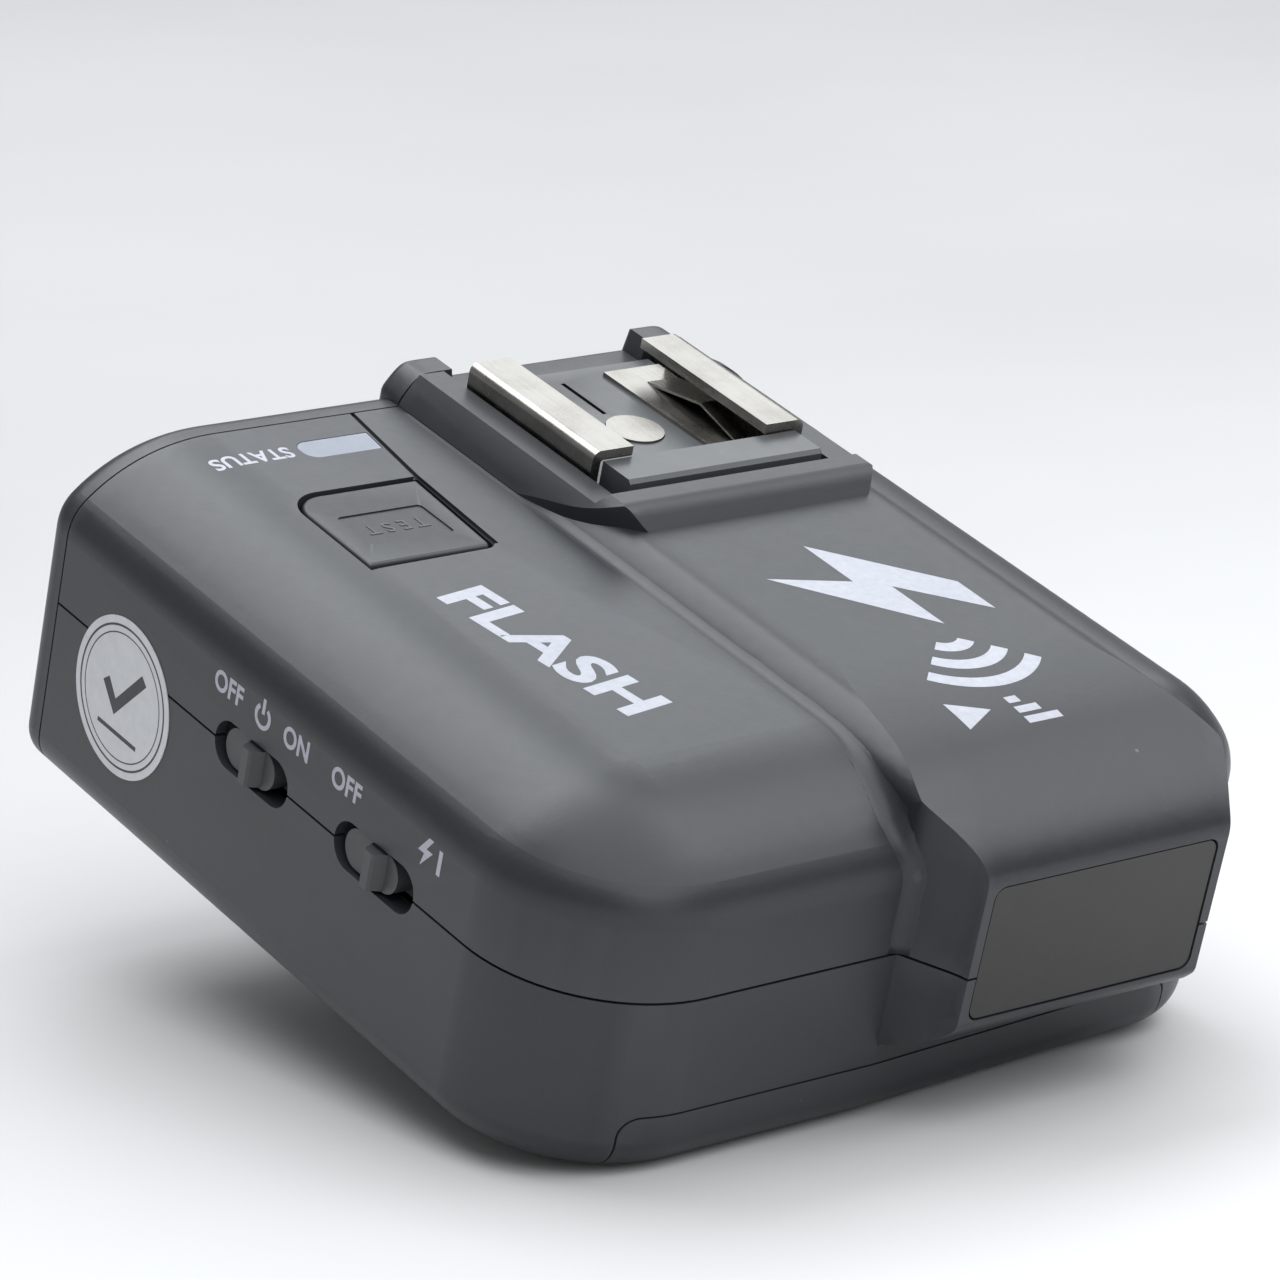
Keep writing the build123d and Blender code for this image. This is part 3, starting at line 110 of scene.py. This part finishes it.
def plastic(name, base, dark, light, rough=(0.42, 0.58), grain=2600.0, bump=0.10, edge=0.0, edge_col=None, spec=0.5,
            speck=0.0, coat=0.0, coat_rough=0.3):
    """Moulded plastic: spark-eroded grain, faint flow clouds, paler convex edges that are partly rubbed wear and partly
    a painted highlight, a few dust specks.
    """
    m, nt, b = new_mat(name)
    L = nt.links.new
    v = coords(nt)
    cloud = noise(nt, v, 55.0, 4, 0.55, (-800, 260))
    fine = noise(nt, v, grain, 2, 0.6, (-800, 40))
    mid = noise(nt, v, grain * 0.33, 3, 0.6, (-800, -160))
    cr = ramp(nt, [(0.30, dark), (0.52, base), (0.74, light)], (-520, 260))
    L(cloud.outputs["Fac"], cr.inputs["Fac"])
    col = cr.outputs["Color"]
    # grain also shifts the tone very slightly
    g = node(nt, "ShaderNodeMix", (-220, 220), data_type="RGBA", blend_type="OVERLAY")
    g.inputs["Factor"].default_value = 0.16
    L(col, g.inputs["A"])
    L(fine.outputs["Fac"], g.inputs["B"])
    col = g.outputs["Result"]
    # paler convex edges found by pointiness: partly rubbed wear, partly a painted highlight standing in for light
    # catching the edges
    if edge > 0:
        geo = node(nt, "ShaderNodeNewGeometry", (-800, 520))
        er = node(nt, "ShaderNodeMapRange", (-600, 520))
        er.inputs["From Min"].default_value = 0.515
        er.inputs["From Max"].default_value = 0.60
        L(geo.outputs["Pointiness"], er.inputs["Value"])
        em = node(nt, "ShaderNodeMath", (-420, 520), operation="MULTIPLY")
        em.inputs[1].default_value = edge
        L(er.outputs["Result"], em.inputs[0])
        mx = node(nt, "ShaderNodeMix", (0, 260), data_type="RGBA")
        L(em.outputs[0], mx.inputs["Factor"])
        L(col, mx.inputs["A"])
        mx.inputs["B"].default_value = (*(edge_col or light), 1)
        col = mx.outputs["Result"]
    if speck > 0:
        vo = node(nt, "ShaderNodeTexVoronoi", (-800, 760))
        vo.inputs["Scale"].default_value = 210.0
        L(v, vo.inputs["Vector"])
        sr = node(nt, "ShaderNodeMapRange", (-600, 760))
        sr.inputs["From Min"].default_value = 0.045
        sr.inputs["From Max"].default_value = 0.02
        L(vo.outputs["Distance"], sr.inputs["Value"])
        pick = noise(nt, v, 37.0, 1, 0.5, (-800, 960))
        pr = node(nt, "ShaderNodeMapRange", (-600, 960))
        pr.inputs["From Min"].default_value = 0.60
        pr.inputs["From Max"].default_value = 0.66
        L(pick.outputs["Fac"], pr.inputs["Value"])
        mu = node(nt, "ShaderNodeMath", (-420, 800), operation="MULTIPLY")
        L(sr.outputs["Result"], mu.inputs[0])
        L(pr.outputs["Result"], mu.inputs[1])
        m2 = node(nt, "ShaderNodeMath", (-260, 800), operation="MULTIPLY")
        m2.inputs[1].default_value = speck
        L(mu.outputs[0], m2.inputs[0])
        mx = node(nt, "ShaderNodeMix", (180, 300), data_type="RGBA")
        L(m2.outputs[0], mx.inputs["Factor"])
        L(col, mx.inputs["A"])
        mx.inputs["B"].default_value = (0.45, 0.45, 0.47, 1)
        col = mx.outputs["Result"]
    L(col, b.inputs["Base Color"])
    rr = node(nt, "ShaderNodeMapRange", (-220, -60))
    rr.inputs["To Min"].default_value = rough[0]
    rr.inputs["To Max"].default_value = rough[1]
    L(mid.outputs["Fac"], rr.inputs["Value"])
    L(rr.outputs["Result"], b.inputs["Roughness"])
    b.inputs["Specular IOR Level"].default_value = spec
    if coat:
        b.inputs["Coat Weight"].default_value = coat
        b.inputs["Coat Roughness"].default_value = coat_rough
    bp = node(nt, "ShaderNodeBump", (200, -260))
    bp.inputs["Strength"].default_value = bump
    bp.inputs["Distance"].default_value = 0.00004
    ad = node(nt, "ShaderNodeMath", (-220, -260), operation="ADD")
    L(fine.outputs["Fac"], ad.inputs[0])
    L(mid.outputs["Fac"], ad.inputs[1])
    L(ad.outputs[0], bp.inputs["Height"])
    L(bp.outputs["Normal"], b.inputs["Normal"])
    return m


def metal(name, base, dark, rough=(0.18, 0.34), brush=(30, 900, 900), bump=0.04, tint=None):
    """Plated sheet: drawn lines along one axis, smudges and slightly darker handling marks."""
    m, nt, b = new_mat(name)
    L = nt.links.new
    tc = node(nt, "ShaderNodeTexCoord", (-1100, 0))
    mp = node(nt, "ShaderNodeMapping", (-920, 0))
    mp.inputs["Scale"].default_value = brush
    L(tc.outputs["Object"], mp.inputs["Vector"])
    lines = noise(nt, mp.outputs["Vector"], 3.0, 4, 0.6, (-700, 0))
    sm = noise(nt, tc.outputs["Object"], 240.0, 4, 0.6, (-700, 240))
    cr = ramp(nt, [(0.32, dark), (0.55, base), (0.8, tint or base)], (-440, 240))
    L(sm.outputs["Fac"], cr.inputs["Fac"])
    L(cr.outputs["Color"], b.inputs["Base Color"])
    b.inputs["Metallic"].default_value = 1.0
    ad = node(nt, "ShaderNodeMath", (-440, -20), operation="MULTIPLY_ADD")
    ad.inputs[1].default_value = 0.5
    L(lines.outputs["Fac"], ad.inputs[0])
    hf = node(nt, "ShaderNodeMath", (-560, -200), operation="MULTIPLY")
    hf.inputs[1].default_value = 0.5
    L(sm.outputs["Fac"], hf.inputs[0])
    L(hf.outputs[0], ad.inputs[2])
    rr = node(nt, "ShaderNodeMapRange", (-220, -20))
    rr.inputs["From Min"].default_value = 0.3
    rr.inputs["From Max"].default_value = 0.7
    rr.inputs["To Min"].default_value = rough[0]
    rr.inputs["To Max"].default_value = rough[1]
    L(ad.outputs[0], rr.inputs["Value"])
    L(rr.outputs["Result"], b.inputs["Roughness"])
    bp = node(nt, "ShaderNodeBump", (200, -260))
    bp.inputs["Strength"].default_value = bump
    bp.inputs["Distance"].default_value = 0.00003
    L(lines.outputs["Fac"], bp.inputs["Height"])
    L(bp.outputs["Normal"], b.inputs["Normal"])
    return m


# ------------------------------------------------------------------ camera, floor, light
R0 = Vector((-0.78548865, 0.59452377, 0.17189843))
R1 = Vector((0.14602532, 0.44796149, -0.88204711))
R2 = Vector((-0.60140185, -0.66773647, -0.43868419))
CAM = Vector((0.261314, 0.295813, 0.213865))
cam = bpy.data.cameras.new("camera")
cam.sensor_width = 36.0
cam.lens = 5616.27 * 36.0 / 1280.0
cam.clip_start, cam.clip_end = 0.01, 20.0
camo = link(bpy.data.objects.new("camera", cam))
m = Matrix((R0, -R1, -R2)).transposed().to_4x4()
m.translation = CAM
camo.matrix_world = m
scene.camera = camo

tilt = math.radians(14.5)                                    # foot edge and rounded front edge both rest on the table
up = Vector((0, -math.sin(tilt), math.cos(tilt)))            # the table's normal in the part's frame
p0 = Vector((0, 0.0092, 0.0))                                 # the foot's front edge rests on it
fw = Vector((0, math.cos(tilt), math.sin(tilt)))


def on_table(a, b, c):
    """a to the right, b forward, c above the table, in metres."""
    return p0 + Vector((1, 0, 0)) * a + fw * b + up * c


scene.view_settings.view_transform = "Standard"
fm, nt, b = new_mat("table_paper")
v = coords(nt)
n1 = noise(nt, v, 9.0, 5, 0.55, (-700, 200))
cr = ramp(nt, [(0.35, (0.545, 0.540, 0.538)), (0.65, (0.57, 0.565, 0.563))], (-420, 200))
nt.links.new(n1.outputs["Fac"], cr.inputs["Fac"])
# painted light: the paper's colour is painted paler towards the viewer, standing in for brighter light on the near
# floor
tcf = node(nt, "ShaderNodeTexCoord", (-1100, -300))
sep = node(nt, "ShaderNodeSeparateXYZ", (-900, -300))
nt.links.new(tcf.outputs["Object"], sep.inputs[0])
mr = node(nt, "ShaderNodeMapRange", (-700, -300), interpolation_type="SMOOTHSTEP")
mr.inputs["From Min"].default_value = -0.16
mr.inputs["From Max"].default_value = 0.10
mr.inputs["To Min"].default_value = 0.86
mr.inputs["To Max"].default_value = 1.14
nt.links.new(sep.outputs["Y"], mr.inputs["Value"])
sc = node(nt, "ShaderNodeVectorMath", (-100, 100), operation="SCALE")
nt.links.new(cr.outputs["Color"], sc.inputs[0])
nt.links.new(mr.outputs["Result"], sc.inputs["Scale"])
nt.links.new(sc.outputs[0], b.inputs["Base Color"])
b.inputs["Roughness"].default_value = 0.55
b.inputs["Specular IOR Level"].default_value = 0.35
geo = node(nt, "ShaderNodeNewGeometry", (300, 300))
clear = node(nt, "ShaderNodeBsdfTransparent", (600, 260))
mixs = node(nt, "ShaderNodeMixShader", (800, 120))
nt.links.new(geo.outputs["Backfacing"], mixs.inputs[0])
nt.links.new(b.outputs[0], mixs.inputs[1])
nt.links.new(clear.outputs[0], mixs.inputs[2])
nt.links.new(mixs.outputs[0], [x for x in nt.nodes if x.type == "OUTPUT_MATERIAL"][0].inputs[0])
rows, cols = 40, 24
vs, fs = [], []
for i in range(rows + 1):
    t = i / rows
    # a flat sheet reaching far in front and behind, seen from the photo's camera
    for j in range(cols + 1):
        s = (j / cols - 0.5) * 4.0
        vs.append(tuple(on_table(s, -2.0 + 4.0 * t, -0.00005)))
for i in range(rows):
    for j in range(cols):
        a = i * (cols + 1) + j
        fs.append((a, a + 1, a + cols + 2, a + cols + 1))
floor = mesh_obj("table_top", vs, fs, fm, smooth=False, scale=1.0)

w = bpy.data.worlds.new("studio")
scene.world = w
w.use_nodes = True
wt = w.node_tree
wt.nodes.clear()
wo = node(wt, "ShaderNodeOutputWorld", (400, 0))
bg = node(wt, "ShaderNodeBackground", (200, 0))
bg.inputs["Color"].default_value = (0.83, 0.86, 0.88, 1)
bg.inputs["Strength"].default_value = 0.36
wt.links.new(bg.outputs[0], wo.inputs[0])


def area(name, loc, target, size, power, col=(1, 1, 1), shape="RECTANGLE", size_y=None):
    l = bpy.data.lights.new(name, "AREA")
    l.shape = shape
    l.size = size
    l.size_y = size_y or size
    l.energy = power
    l.color = col
    o = link(bpy.data.objects.new(name, l))
    o.location = loc
    d = Vector(target) - Vector(loc)
    o.rotation_mode = "QUATERNION"
    o.rotation_quaternion = d.to_track_quat("-Z", "Y")
    return o


area("key_top", on_table(-0.05, 0.42, 0.80), (0.01, 0.10, 0.02), 1.3, 9.6, (0.955, 0.98, 1.0))
for nm, d, dist, size, sy, pw in (("back_panel", (-0.60, -0.667, 0.50), 0.95, 0.8, 0.4, 2.3), ("back_high", (0.10, -0.667, 0.76), 0.85, 0.7, 0.5, 5.2),
                                  ("left_panel", (-0.62, 0.05, 0.80), 0.9, 0.6, 0.6, 2.0)):
    lo_ = area(nm, tuple(Vector(d) * dist), (0.01, 0.02, 0.02), size, pw, (0.94, 0.97, 1.0), size_y=sy)
area("front_fill", tuple(Vector((0.15, 0.9, 0.55)) * 0.7), (0.01, 0.04, 0.02), 0.4, 0.45, (0.97, 0.985, 1.0))

# ------------------------------------------------------------------ materials
shell = plastic("shell_plastic", (0.0195, 0.0213, 0.0258), (0.0175, 0.0188, 0.0220), (0.0230, 0.0245, 0.0282), rough=(0.33, 0.42),
                grain=3200.0, bump=0.14, edge=0.5, edge_col=(0.050, 0.052, 0.058), speck=0.30)
knob = plastic("knob_plastic", (0.020, 0.0212, 0.024), (0.017, 0.018, 0.020), (0.024, 0.0255, 0.0285), rough=(0.34, 0.46),
               grain=2600.0, bump=0.08, edge=0.5, edge_col=(0.09, 0.095, 0.1))
key = plastic("key_plastic", (0.0205, 0.0220, 0.0252), (0.018, 0.0192, 0.0222), (0.0235, 0.025, 0.0285), rough=(0.38, 0.48),
              grain=3000.0, bump=0.12, edge=0.5, edge_col=(0.09, 0.095, 0.1))
inner = plastic("inner_plastic", (0.010, 0.010, 0.011), (0.008, 0.008, 0.009), (0.014, 0.014, 0.015), rough=(0.5, 0.65))
shoe_pl = plastic("shoe_plastic", (0.014, 0.015, 0.017), (0.011, 0.012, 0.014), (0.018, 0.019, 0.022), rough=(0.24, 0.36),
                  grain=1800.0, bump=0.05, edge=0.6, edge_col=(0.1, 0.105, 0.11))
rubber = plastic("dial_rubber", (0.02, 0.02, 0.021), (0.014, 0.014, 0.015), (0.03, 0.03, 0.031), rough=(0.6, 0.8), bump=0.2)
window = plastic("window_plastic", (0.024, 0.0225, 0.0225), (0.017, 0.0155, 0.016), (0.024, 0.022, 0.0225), rough=(0.30, 0.42),
                 grain=1500.0, bump=0.03, edge=0.0)
nickel = metal("nickel", (0.345, 0.33, 0.305), (0.27, 0.255, 0.23), rough=(0.22, 0.34), brush=(900, 40, 900), tint=(0.385, 0.37, 0.345))
steel = metal("foot_metal", (0.55, 0.55, 0.56), (0.42, 0.42, 0.43), rough=(0.28, 0.42), brush=(40, 900, 900))
gold = metal("gold_contact", (0.86, 0.65, 0.30), (0.7, 0.5, 0.2), rough=(0.15, 0.3), brush=(300, 300, 900))
screw = metal("screw_steel", (0.16, 0.16, 0.17), (0.1, 0.1, 0.11), rough=(0.3, 0.45), brush=(300, 300, 300))
board = plastic("board", (0.01, 0.07, 0.035), (0.008, 0.05, 0.026), (0.02, 0.1, 0.05), rough=(0.3, 0.4), grain=900.0)
tin = metal("module_metal", (0.6, 0.6, 0.6), (0.45, 0.45, 0.46), rough=(0.3, 0.45), brush=(200, 200, 200))
wrap = plastic("cell_wrap", (0.03, 0.11, 0.20), (0.02, 0.08, 0.16), (0.05, 0.15, 0.26), rough=(0.2, 0.3), grain=600.0, bump=0.03)
paper = plastic("sticker", (0.60, 0.605, 0.63), (0.57, 0.575, 0.60), (0.63, 0.635, 0.66), rough=(0.5, 0.62), grain=900.0, bump=0.05)
ink = plastic("white_ink", (0.42, 0.43, 0.48), (0.39, 0.40, 0.45), (0.45, 0.46, 0.51), rough=(0.45, 0.6), grain=1600.0, bump=0.08)
milk = plastic("light_pipe", (0.215, 0.235, 0.285), (0.20, 0.22, 0.268), (0.235, 0.255, 0.305), rough=(0.3, 0.4), grain=700.0, bump=0.03)

slot_mat = {"shell_plastic": shell, "inner_plastic": inner, "shoe_plastic": shoe_pl, "knob_plastic": knob, "key_plastic": key,
            "dial_rubber": rubber, "board": board, "module_metal": tin, "window_plastic": window, "light_pipe": milk,
            "nickel": nickel, "foot_metal": steel, "gold_contact": gold, "screw_steel": screw, "cell_wrap": wrap, "sticker": paper}
for sp in frame["record"]["subparts"]:
    o = N[sp["node"]]
    o.data.materials.clear()
    o.data.materials.append(slot_mat[sp["material_slot"]])


# ------------------------------------------------------------------ soft fillets in the valleys beside the backbone
def bez(p, t):
    p = [np.array(q, float) for q in p]
    return (1 - t) ** 3 * p[0] + 3 * (1 - t) ** 2 * t * p[1] + 3 * (1 - t) * t * t * p[2] + t ** 3 * p[3]


def crown_line(yf, w, zw=30.6, zt=37.6):
    """Front profile of a bulge from the flat top down to the parting plane: points (y, z) and outward normals."""
    k, m = w / 12.0, (zt - zw) / 7.0
    a = [(yf, zw), (yf, zw + 1.35 * m), (yf - 0.4 * k, zw + 2.25 * m), (yf - 1.3 * k, zw + 3.1 * m)]
    c = [(yf - 1.3 * k, zw + 3.1 * m), (yf - 3.2 * k, zw + 4.89 * m), (yf - 6.6 * k, zt), (yf - w, zt)]
    pts = [np.array((y, zt)) for y in np.linspace(-10.68, yf - w, 30, endpoint=False)]
    pts += [bez(c, t) for t in np.linspace(1, 0, 26, endpoint=False)]
    pts += [bez(a, t) for t in np.linspace(1, 0, 14, endpoint=False)]
    pts += [np.array((yf, z)) for z in np.linspace(zw, 25.32, 8)]
    pts = np.array(pts)
    d = np.gradient(pts, axis=0)
    d /= np.linalg.norm(d, axis=1)[:, None]
    nrm = np.stack([-d[:, 1], d[:, 0]], 1)
    return pts, nrm


fz = np.array([20.0, 36.4, 36.9, 37.3, 37.7, 38.1, 38.5, 38.85, 39.1, 39.25, 39.35])
fx0 = np.array([14.4, 14.4, 14.33, 14.2, 13.93, 13.5, 13.02, 12.5, 11.9, 11.2, 10.0])
tt = np.linspace(0, 1, 1200)
ft = np.concatenate([[0], np.cumsum(np.hypot(np.diff(fx0), np.diff(fz)))])
ft /= ft[-1]
flank = np.stack([np.interp(tt, ft, fx0), np.interp(tt, ft, fz)], 1)
ker = np.ones(61) / 61
flank[30:-30, 0] = np.convolve(flank[:, 0], ker, "valid")
fd = np.gradient(flank, axis=0)
fd = np.stack([np.convolve(np.pad(fd[:, k], 30, "edge"), ker, "valid") for k in (0, 1)], 1)
fd /= np.linalg.norm(fd, axis=1)[:, None]
fn = np.stack([fd[:, 1], -fd[:, 0]], 1)


def flank_at(z, off):
    """Ball centre x and contact point (x, z) on the backbone's side for a ball of radius off whose centre is at height z."""
    o = flank + fn * off
    zs = np.maximum.accumulate(o[:, 1])
    j = int(np.clip(np.searchsorted(zs, z), 0, len(zs) - 1))
    return o[j, 0], flank[j]


# plan of the backbone's side near the nose
py = np.array([-20.0, 52.2, 53.4, 54.5, 55.6, 56.6, 57.7, 58.73])
px = np.array([14.4, 14.4, 14.17, 13.7, 13.1, 12.5, 11.95, 11.5])


def valley(name, side, yf, w, r, z_to=None):
    pts, nrm = crown_line(yf, w)
    vs, fs = [], []
    n = 12
    for (y, z), nn in zip(pts, nrm):
        rr = r
        cy, cz = y + nn[0] * rr, z + nn[1] * rr
        fx, q = flank_at(cz, rr)
        p2 = np.array((q[0], cy, q[1]))
        if cy > 52.2:
            # distance to the curved plan of the nose
            lo_x, hi_x = 12.0, 18.0
            yy = np.linspace(50, 58.7, 400)
            xx = np.interp(yy, py, px)
            for _ in range(30):
                mid_x = (lo_x + hi_x) / 2
                dmin = np.hypot(xx - mid_x, yy - cy).min()
                if dmin < rr:
                    lo_x = mid_x
                else:
                    hi_x = mid_x
            if hi_x < fx:
                fx = hi_x
                j = int(np.argmin(np.hypot(xx - fx, yy - cy)))
                p2 = np.array((xx[j], yy[j], cz))
        c = np.array((fx, cy, cz))
        p1 = np.array((fx, y, z))
        a1, a2 = p1 - c, p2 - c
        r1, r2 = np.linalg.norm(a1), np.linalg.norm(a2)
        a1, a2 = a1 / r1, a2 / r2
        for i in range(n + 1):
            t = i / n
            d = a1 * (1 - t) + a2 * t
            d /= np.linalg.norm(d)
            v = c + d * (r1 * (1 - t) + r2 * t)
            if i == 0:
                v = v - np.array((0, nn[0], nn[1])) * 0.02
            if i == n:
                v = v + a2 * 0.02
            vs.append((side * v[0], v[1], v[2]))
    m = len(pts)
    for a in range(m - 1):
        for i in range(n):
            k = a * (n + 1) + i
            f = (k, k + 1, k + n + 2, k + n + 1)
            fs.append(f if side > 0 else f[::-1])
    # closed underneath, inside the wall
    base = len(vs)
    for a in range(m):
        v0, v1 = np.array(vs[a * (n + 1)]), np.array(vs[a * (n + 1) + n])
        corner = np.array((v1[0] - side * 0.1, v0[1] - nrm[a][0] * 0.1, v0[2] - nrm[a][1] * 0.1))
        vs.append(tuple(corner))
    for a in range(m - 1):
        k, b2 = a * (n + 1), base + a
        for f in ((k, k + n + 1, b2 + 1, b2), (k + n, b2, b2 + 1, k + 2 * n + 1)):
            fs.append(f if side > 0 else f[::-1])
    for k, b2, flip in ((0, base, False), ((m - 1) * (n + 1), base + m - 1, True)):
        f = tuple(range(k, k + n + 1)) + (b2,)
        f = f[::-1] if (not flip) == (side > 0) else f
        fs.append(f)
    o = mesh_obj(name, vs, fs, shell)
    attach(o, "casing")
    return o


valley("valley_fillet_right", 1, 53.9, 12.0, 1.7)
valley("valley_fillet_left", -1, 52.5, 9.0, 1.5)


# ------------------------------------------------------------------ printed marks: thin raised ink
def ink_mesh(name, place, text=None, size=2.0, outline=None, thick=0.012, bold=0.0, wide=1.0, mat=None, shear=0.0):
    """place(u, v, w) maps the mark's own plane to the part's frame, in mm, with w outwards."""
    cu = bpy.data.curves.new(name, "FONT") if text else bpy.data.curves.new(name, "CURVE")
    if text:
        cu.body = text
        cu.size = size
        cu.align_x, cu.align_y = "CENTER", "CENTER"
        cu.offset = bold
        cu.shear = shear
        cu.resolution_u = 6
        cu.space_character = 1.04
    else:
        cu.dimensions = "2D"
        cu.resolution_u = 8
        for loop in outline:
            sp = cu.splines.new("POLY")
            sp.points.add(len(loop) - 1)
            for i, (u, v2) in enumerate(loop):
                sp.points[i].co = (u, v2, 0, 1)
            sp.use_cyclic_u = True
    cu.fill_mode = "BOTH"
    cu.extrude = 0.5
    ob = link(bpy.data.objects.new(name + "_src", cu))
    dg = bpy.context.evaluated_depsgraph_get()
    me = bpy.data.meshes.new_from_object(ob.evaluated_get(dg))
    bpy.data.objects.remove(ob)
    bm = bmesh.new()
    bm.from_mesh(me)
    bmesh.ops.remove_doubles(bm, verts=bm.verts, dist=1e-5)
    long = [e for e in bm.edges if e.calc_length() > 1.2]
    if long:
        bmesh.ops.subdivide_edges(bm, edges=long, cuts=3, use_grid_fill=True)
    bmesh.ops.triangulate(bm, faces=bm.faces)
    for v2 in bm.verts:
        u, vv, ww = v2.co.x * wide, v2.co.y, v2.co.z
        p = place(u, vv, thick if ww > 0 else -0.03)
        v2.co = Vector((p[0] * MM, p[1] * MM, p[2] * MM))
    bmesh.ops.recalc_face_normals(bm, faces=bm.faces)
    out = bpy.data.meshes.new(name)
    bm.to_mesh(out)
    bm.free()
    out.materials.clear()
    out.materials.append(mat or ink)
    o = link(bpy.data.objects.new(name, out))
    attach(o, "casing")
    return o


def ring(r0, r1, n=64, gap=None, cx=0.0, cy=0.0):
    """A ring's outline; with a gap (in degrees, centred upwards) it is one open-ended band."""
    if gap is None:
        a = [2 * math.pi * i / n for i in range(n)]
        return [[(cx + r1 * math.cos(t), cy + r1 * math.sin(t)) for t in a], [(cx + r0 * math.cos(t), cy + r0 * math.sin(t)) for t in a]]
    g = math.radians(gap) / 2
    a = [math.pi / 2 + g + (2 * math.pi - 2 * g) * i / n for i in range(n + 1)]
    return [[(cx + r1 * math.cos(t), cy + r1 * math.sin(t)) for t in a] + [(cx + r0 * math.cos(t), cy + r0 * math.sin(t)) for t in reversed(a)]]


def arc_band(r0, r1, a0, a1, cx=0.0, cy=0.0, n=20):
    a = [math.radians(a0 + (a1 - a0) * i / n) for i in range(n + 1)]
    return [(cx + r1 * math.cos(t), cy + r1 * math.sin(t)) for t in a] + [(cx + r0 * math.cos(t), cy + r0 * math.sin(t)) for t in reversed(a)]


def side(y0, z0, x=None):
    """On the switch side wall: text runs towards +Y, up is +Z."""
    def f(u, v2, w2):
        z = z0 + v2
        return (43.2 + w2 if x is None else x + w2, y0 + u, z)
    return f


from mathutils.bvhtree import BVHTree
bvh = BVHTree.FromObject(N["upper_shell"], bpy.context.evaluated_depsgraph_get())


def top(x0, y0, ux, vx):
    """On top of the casing. ux and vx are the mark's right and up as (x, y)."""
    def f(u, v2, w2):
        x, y = x0 + u * ux[0] + v2 * vx[0], y0 + u * ux[1] + v2 * vx[1]
        hit = bvh.ray_cast(Vector((x * MM, y * MM, 0.06)), Vector((0, 0, -1)))[0]
        return (x, y, (hit.z / MM if hit is not None else 37.6) + w2)
    return f


spine_top = top


def rounded(hw, hh, r, n=6):
    o = []
    for cx, cy, a0 in ((hw - r, hh - r, 0), (-hw + r, hh - r, 90), (-hw + r, -hh + r, 180), (hw - r, -hh + r, 270)):
        o += [(cx + r * math.cos(math.radians(a0 + 90 * i / n)), cy + r * math.sin(math.radians(a0 + 90 * i / n))) for i in range(n + 1)]
    return o


ink_mesh("print_off_power", side(11.5, 29.4), "OFF", 2.25, bold=0.06, wide=0.90)
ink_mesh("print_power_symbol", side(15.9, 29.4), outline=ring(0.66, 1.0, gap=70), wide=1.0)
ink_mesh("print_power_stroke", side(15.9, 29.4), outline=[[(-0.17, 0.2), (0.17, 0.2), (0.17, 1.4), (-0.17, 1.4)]])
ink_mesh("print_on_power", side(20.2, 29.4), "ON", 2.25, bold=0.06, wide=0.90)
ink_mesh("print_off_mode", side(26.5, 29.4), "OFF", 2.25, bold=0.06, wide=0.90)
bolt = [(0.15, 1.0), (-0.62, -0.12), (-0.08, -0.12), (-0.30, -1.0), (0.62, 0.22), (0.06, 0.22), (0.55, 1.0)]
ink_mesh("print_flash_mode", side(36.2, 29.4), outline=[[(u * 1.35, v2 * 1.2) for u, v2 in bolt]])
ink_mesh("print_flash_tick", side(37.9, 29.4), outline=[[(-0.2, -0.95), (0.2, -0.95), (0.2, 0.95), (-0.2, 0.95)]])
ink_mesh("print_status", top(30.75, -6.45, (1, 0), (0, 1)), "STATUS", 2.3, bold=0.05, wide=0.86)
ink_mesh("print_word", top(27.1, 26.7, (-0.139, 0.990), (-0.990, -0.139)), "FLASH", 6.0, bold=0.2, wide=1.17)
ink_mesh("print_bolt", spine_top(-0.6, 28.6, (0, 1), (-1, 0)), outline=[[(u * 11.0, v2 * 7.2) for u, v2 in bolt]])
ink_mesh("print_waves", spine_top(-0.6, 36.6, (0, 1), (-1, 0)), outline=[arc_band(r, r + 1.25, -46, 46) for r in (1.4, 3.9, 6.4)])
ink_mesh("print_arrow", spine_top(4.3, 46.6, (0, 1), (-1, 0)), outline=[[(-1.6, -1.6), (1.6, -1.6), (0.0, 1.6)]])
ink_mesh("print_bars", spine_top(-0.9, 47.4, (0, 1), (-1, 0)), outline=[[(x, -1.6), (x + 0.75, -1.6), (x + 0.75, -1.6 + h), (x, -1.6 + h)] for x, h in ((-1.8, 1.1), (-0.6, 2.1), (0.6, 3.2))])
# raised word on the test key, in the key's own colour
for i, ch in enumerate("TEST"):
    kt = ink_mesh("key_letter_%d" % i, lambda u, v2, w2, i=i: (26.4 + (i - 1.5) * 1.45 + u, 6.3 + v2, 37.45 + (0.045 if w2 > 0 else -0.03)), ch, 2.0, bold=0.01, mat=key, wide=0.9)
    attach(kt, "test_button")

# quality sticker: two thin rings and a tick
dark_ink = plastic("dark_ink", (0.05, 0.05, 0.06), (0.04, 0.04, 0.05), (0.07, 0.07, 0.08), rough=(0.45, 0.6), grain=1600.0, bump=0.05)
at = side(-1.0, 22.2, 43.28)
ink_mesh("sticker_ring", at, outline=ring(5.45, 5.62, 96), thick=0.008, mat=dark_ink)
ink_mesh("sticker_ring_inner", at, outline=ring(4.9, 5.0, 96), thick=0.008, mat=dark_ink)
ink_mesh("sticker_tick", at, outline=[[(-2.6, 0.3), (-1.9, 0.9), (-0.75, -0.45), (2.1, 2.9), (2.8, 2.3), (-0.7, -1.75)]], thick=0.008, mat=dark_ink)
ink_mesh("sticker_line", at, outline=[[(-2.6, -3.2), (2.6, -3.2), (2.6, -2.85), (-2.6, -2.85)]], thick=0.008, mat=dark_ink)
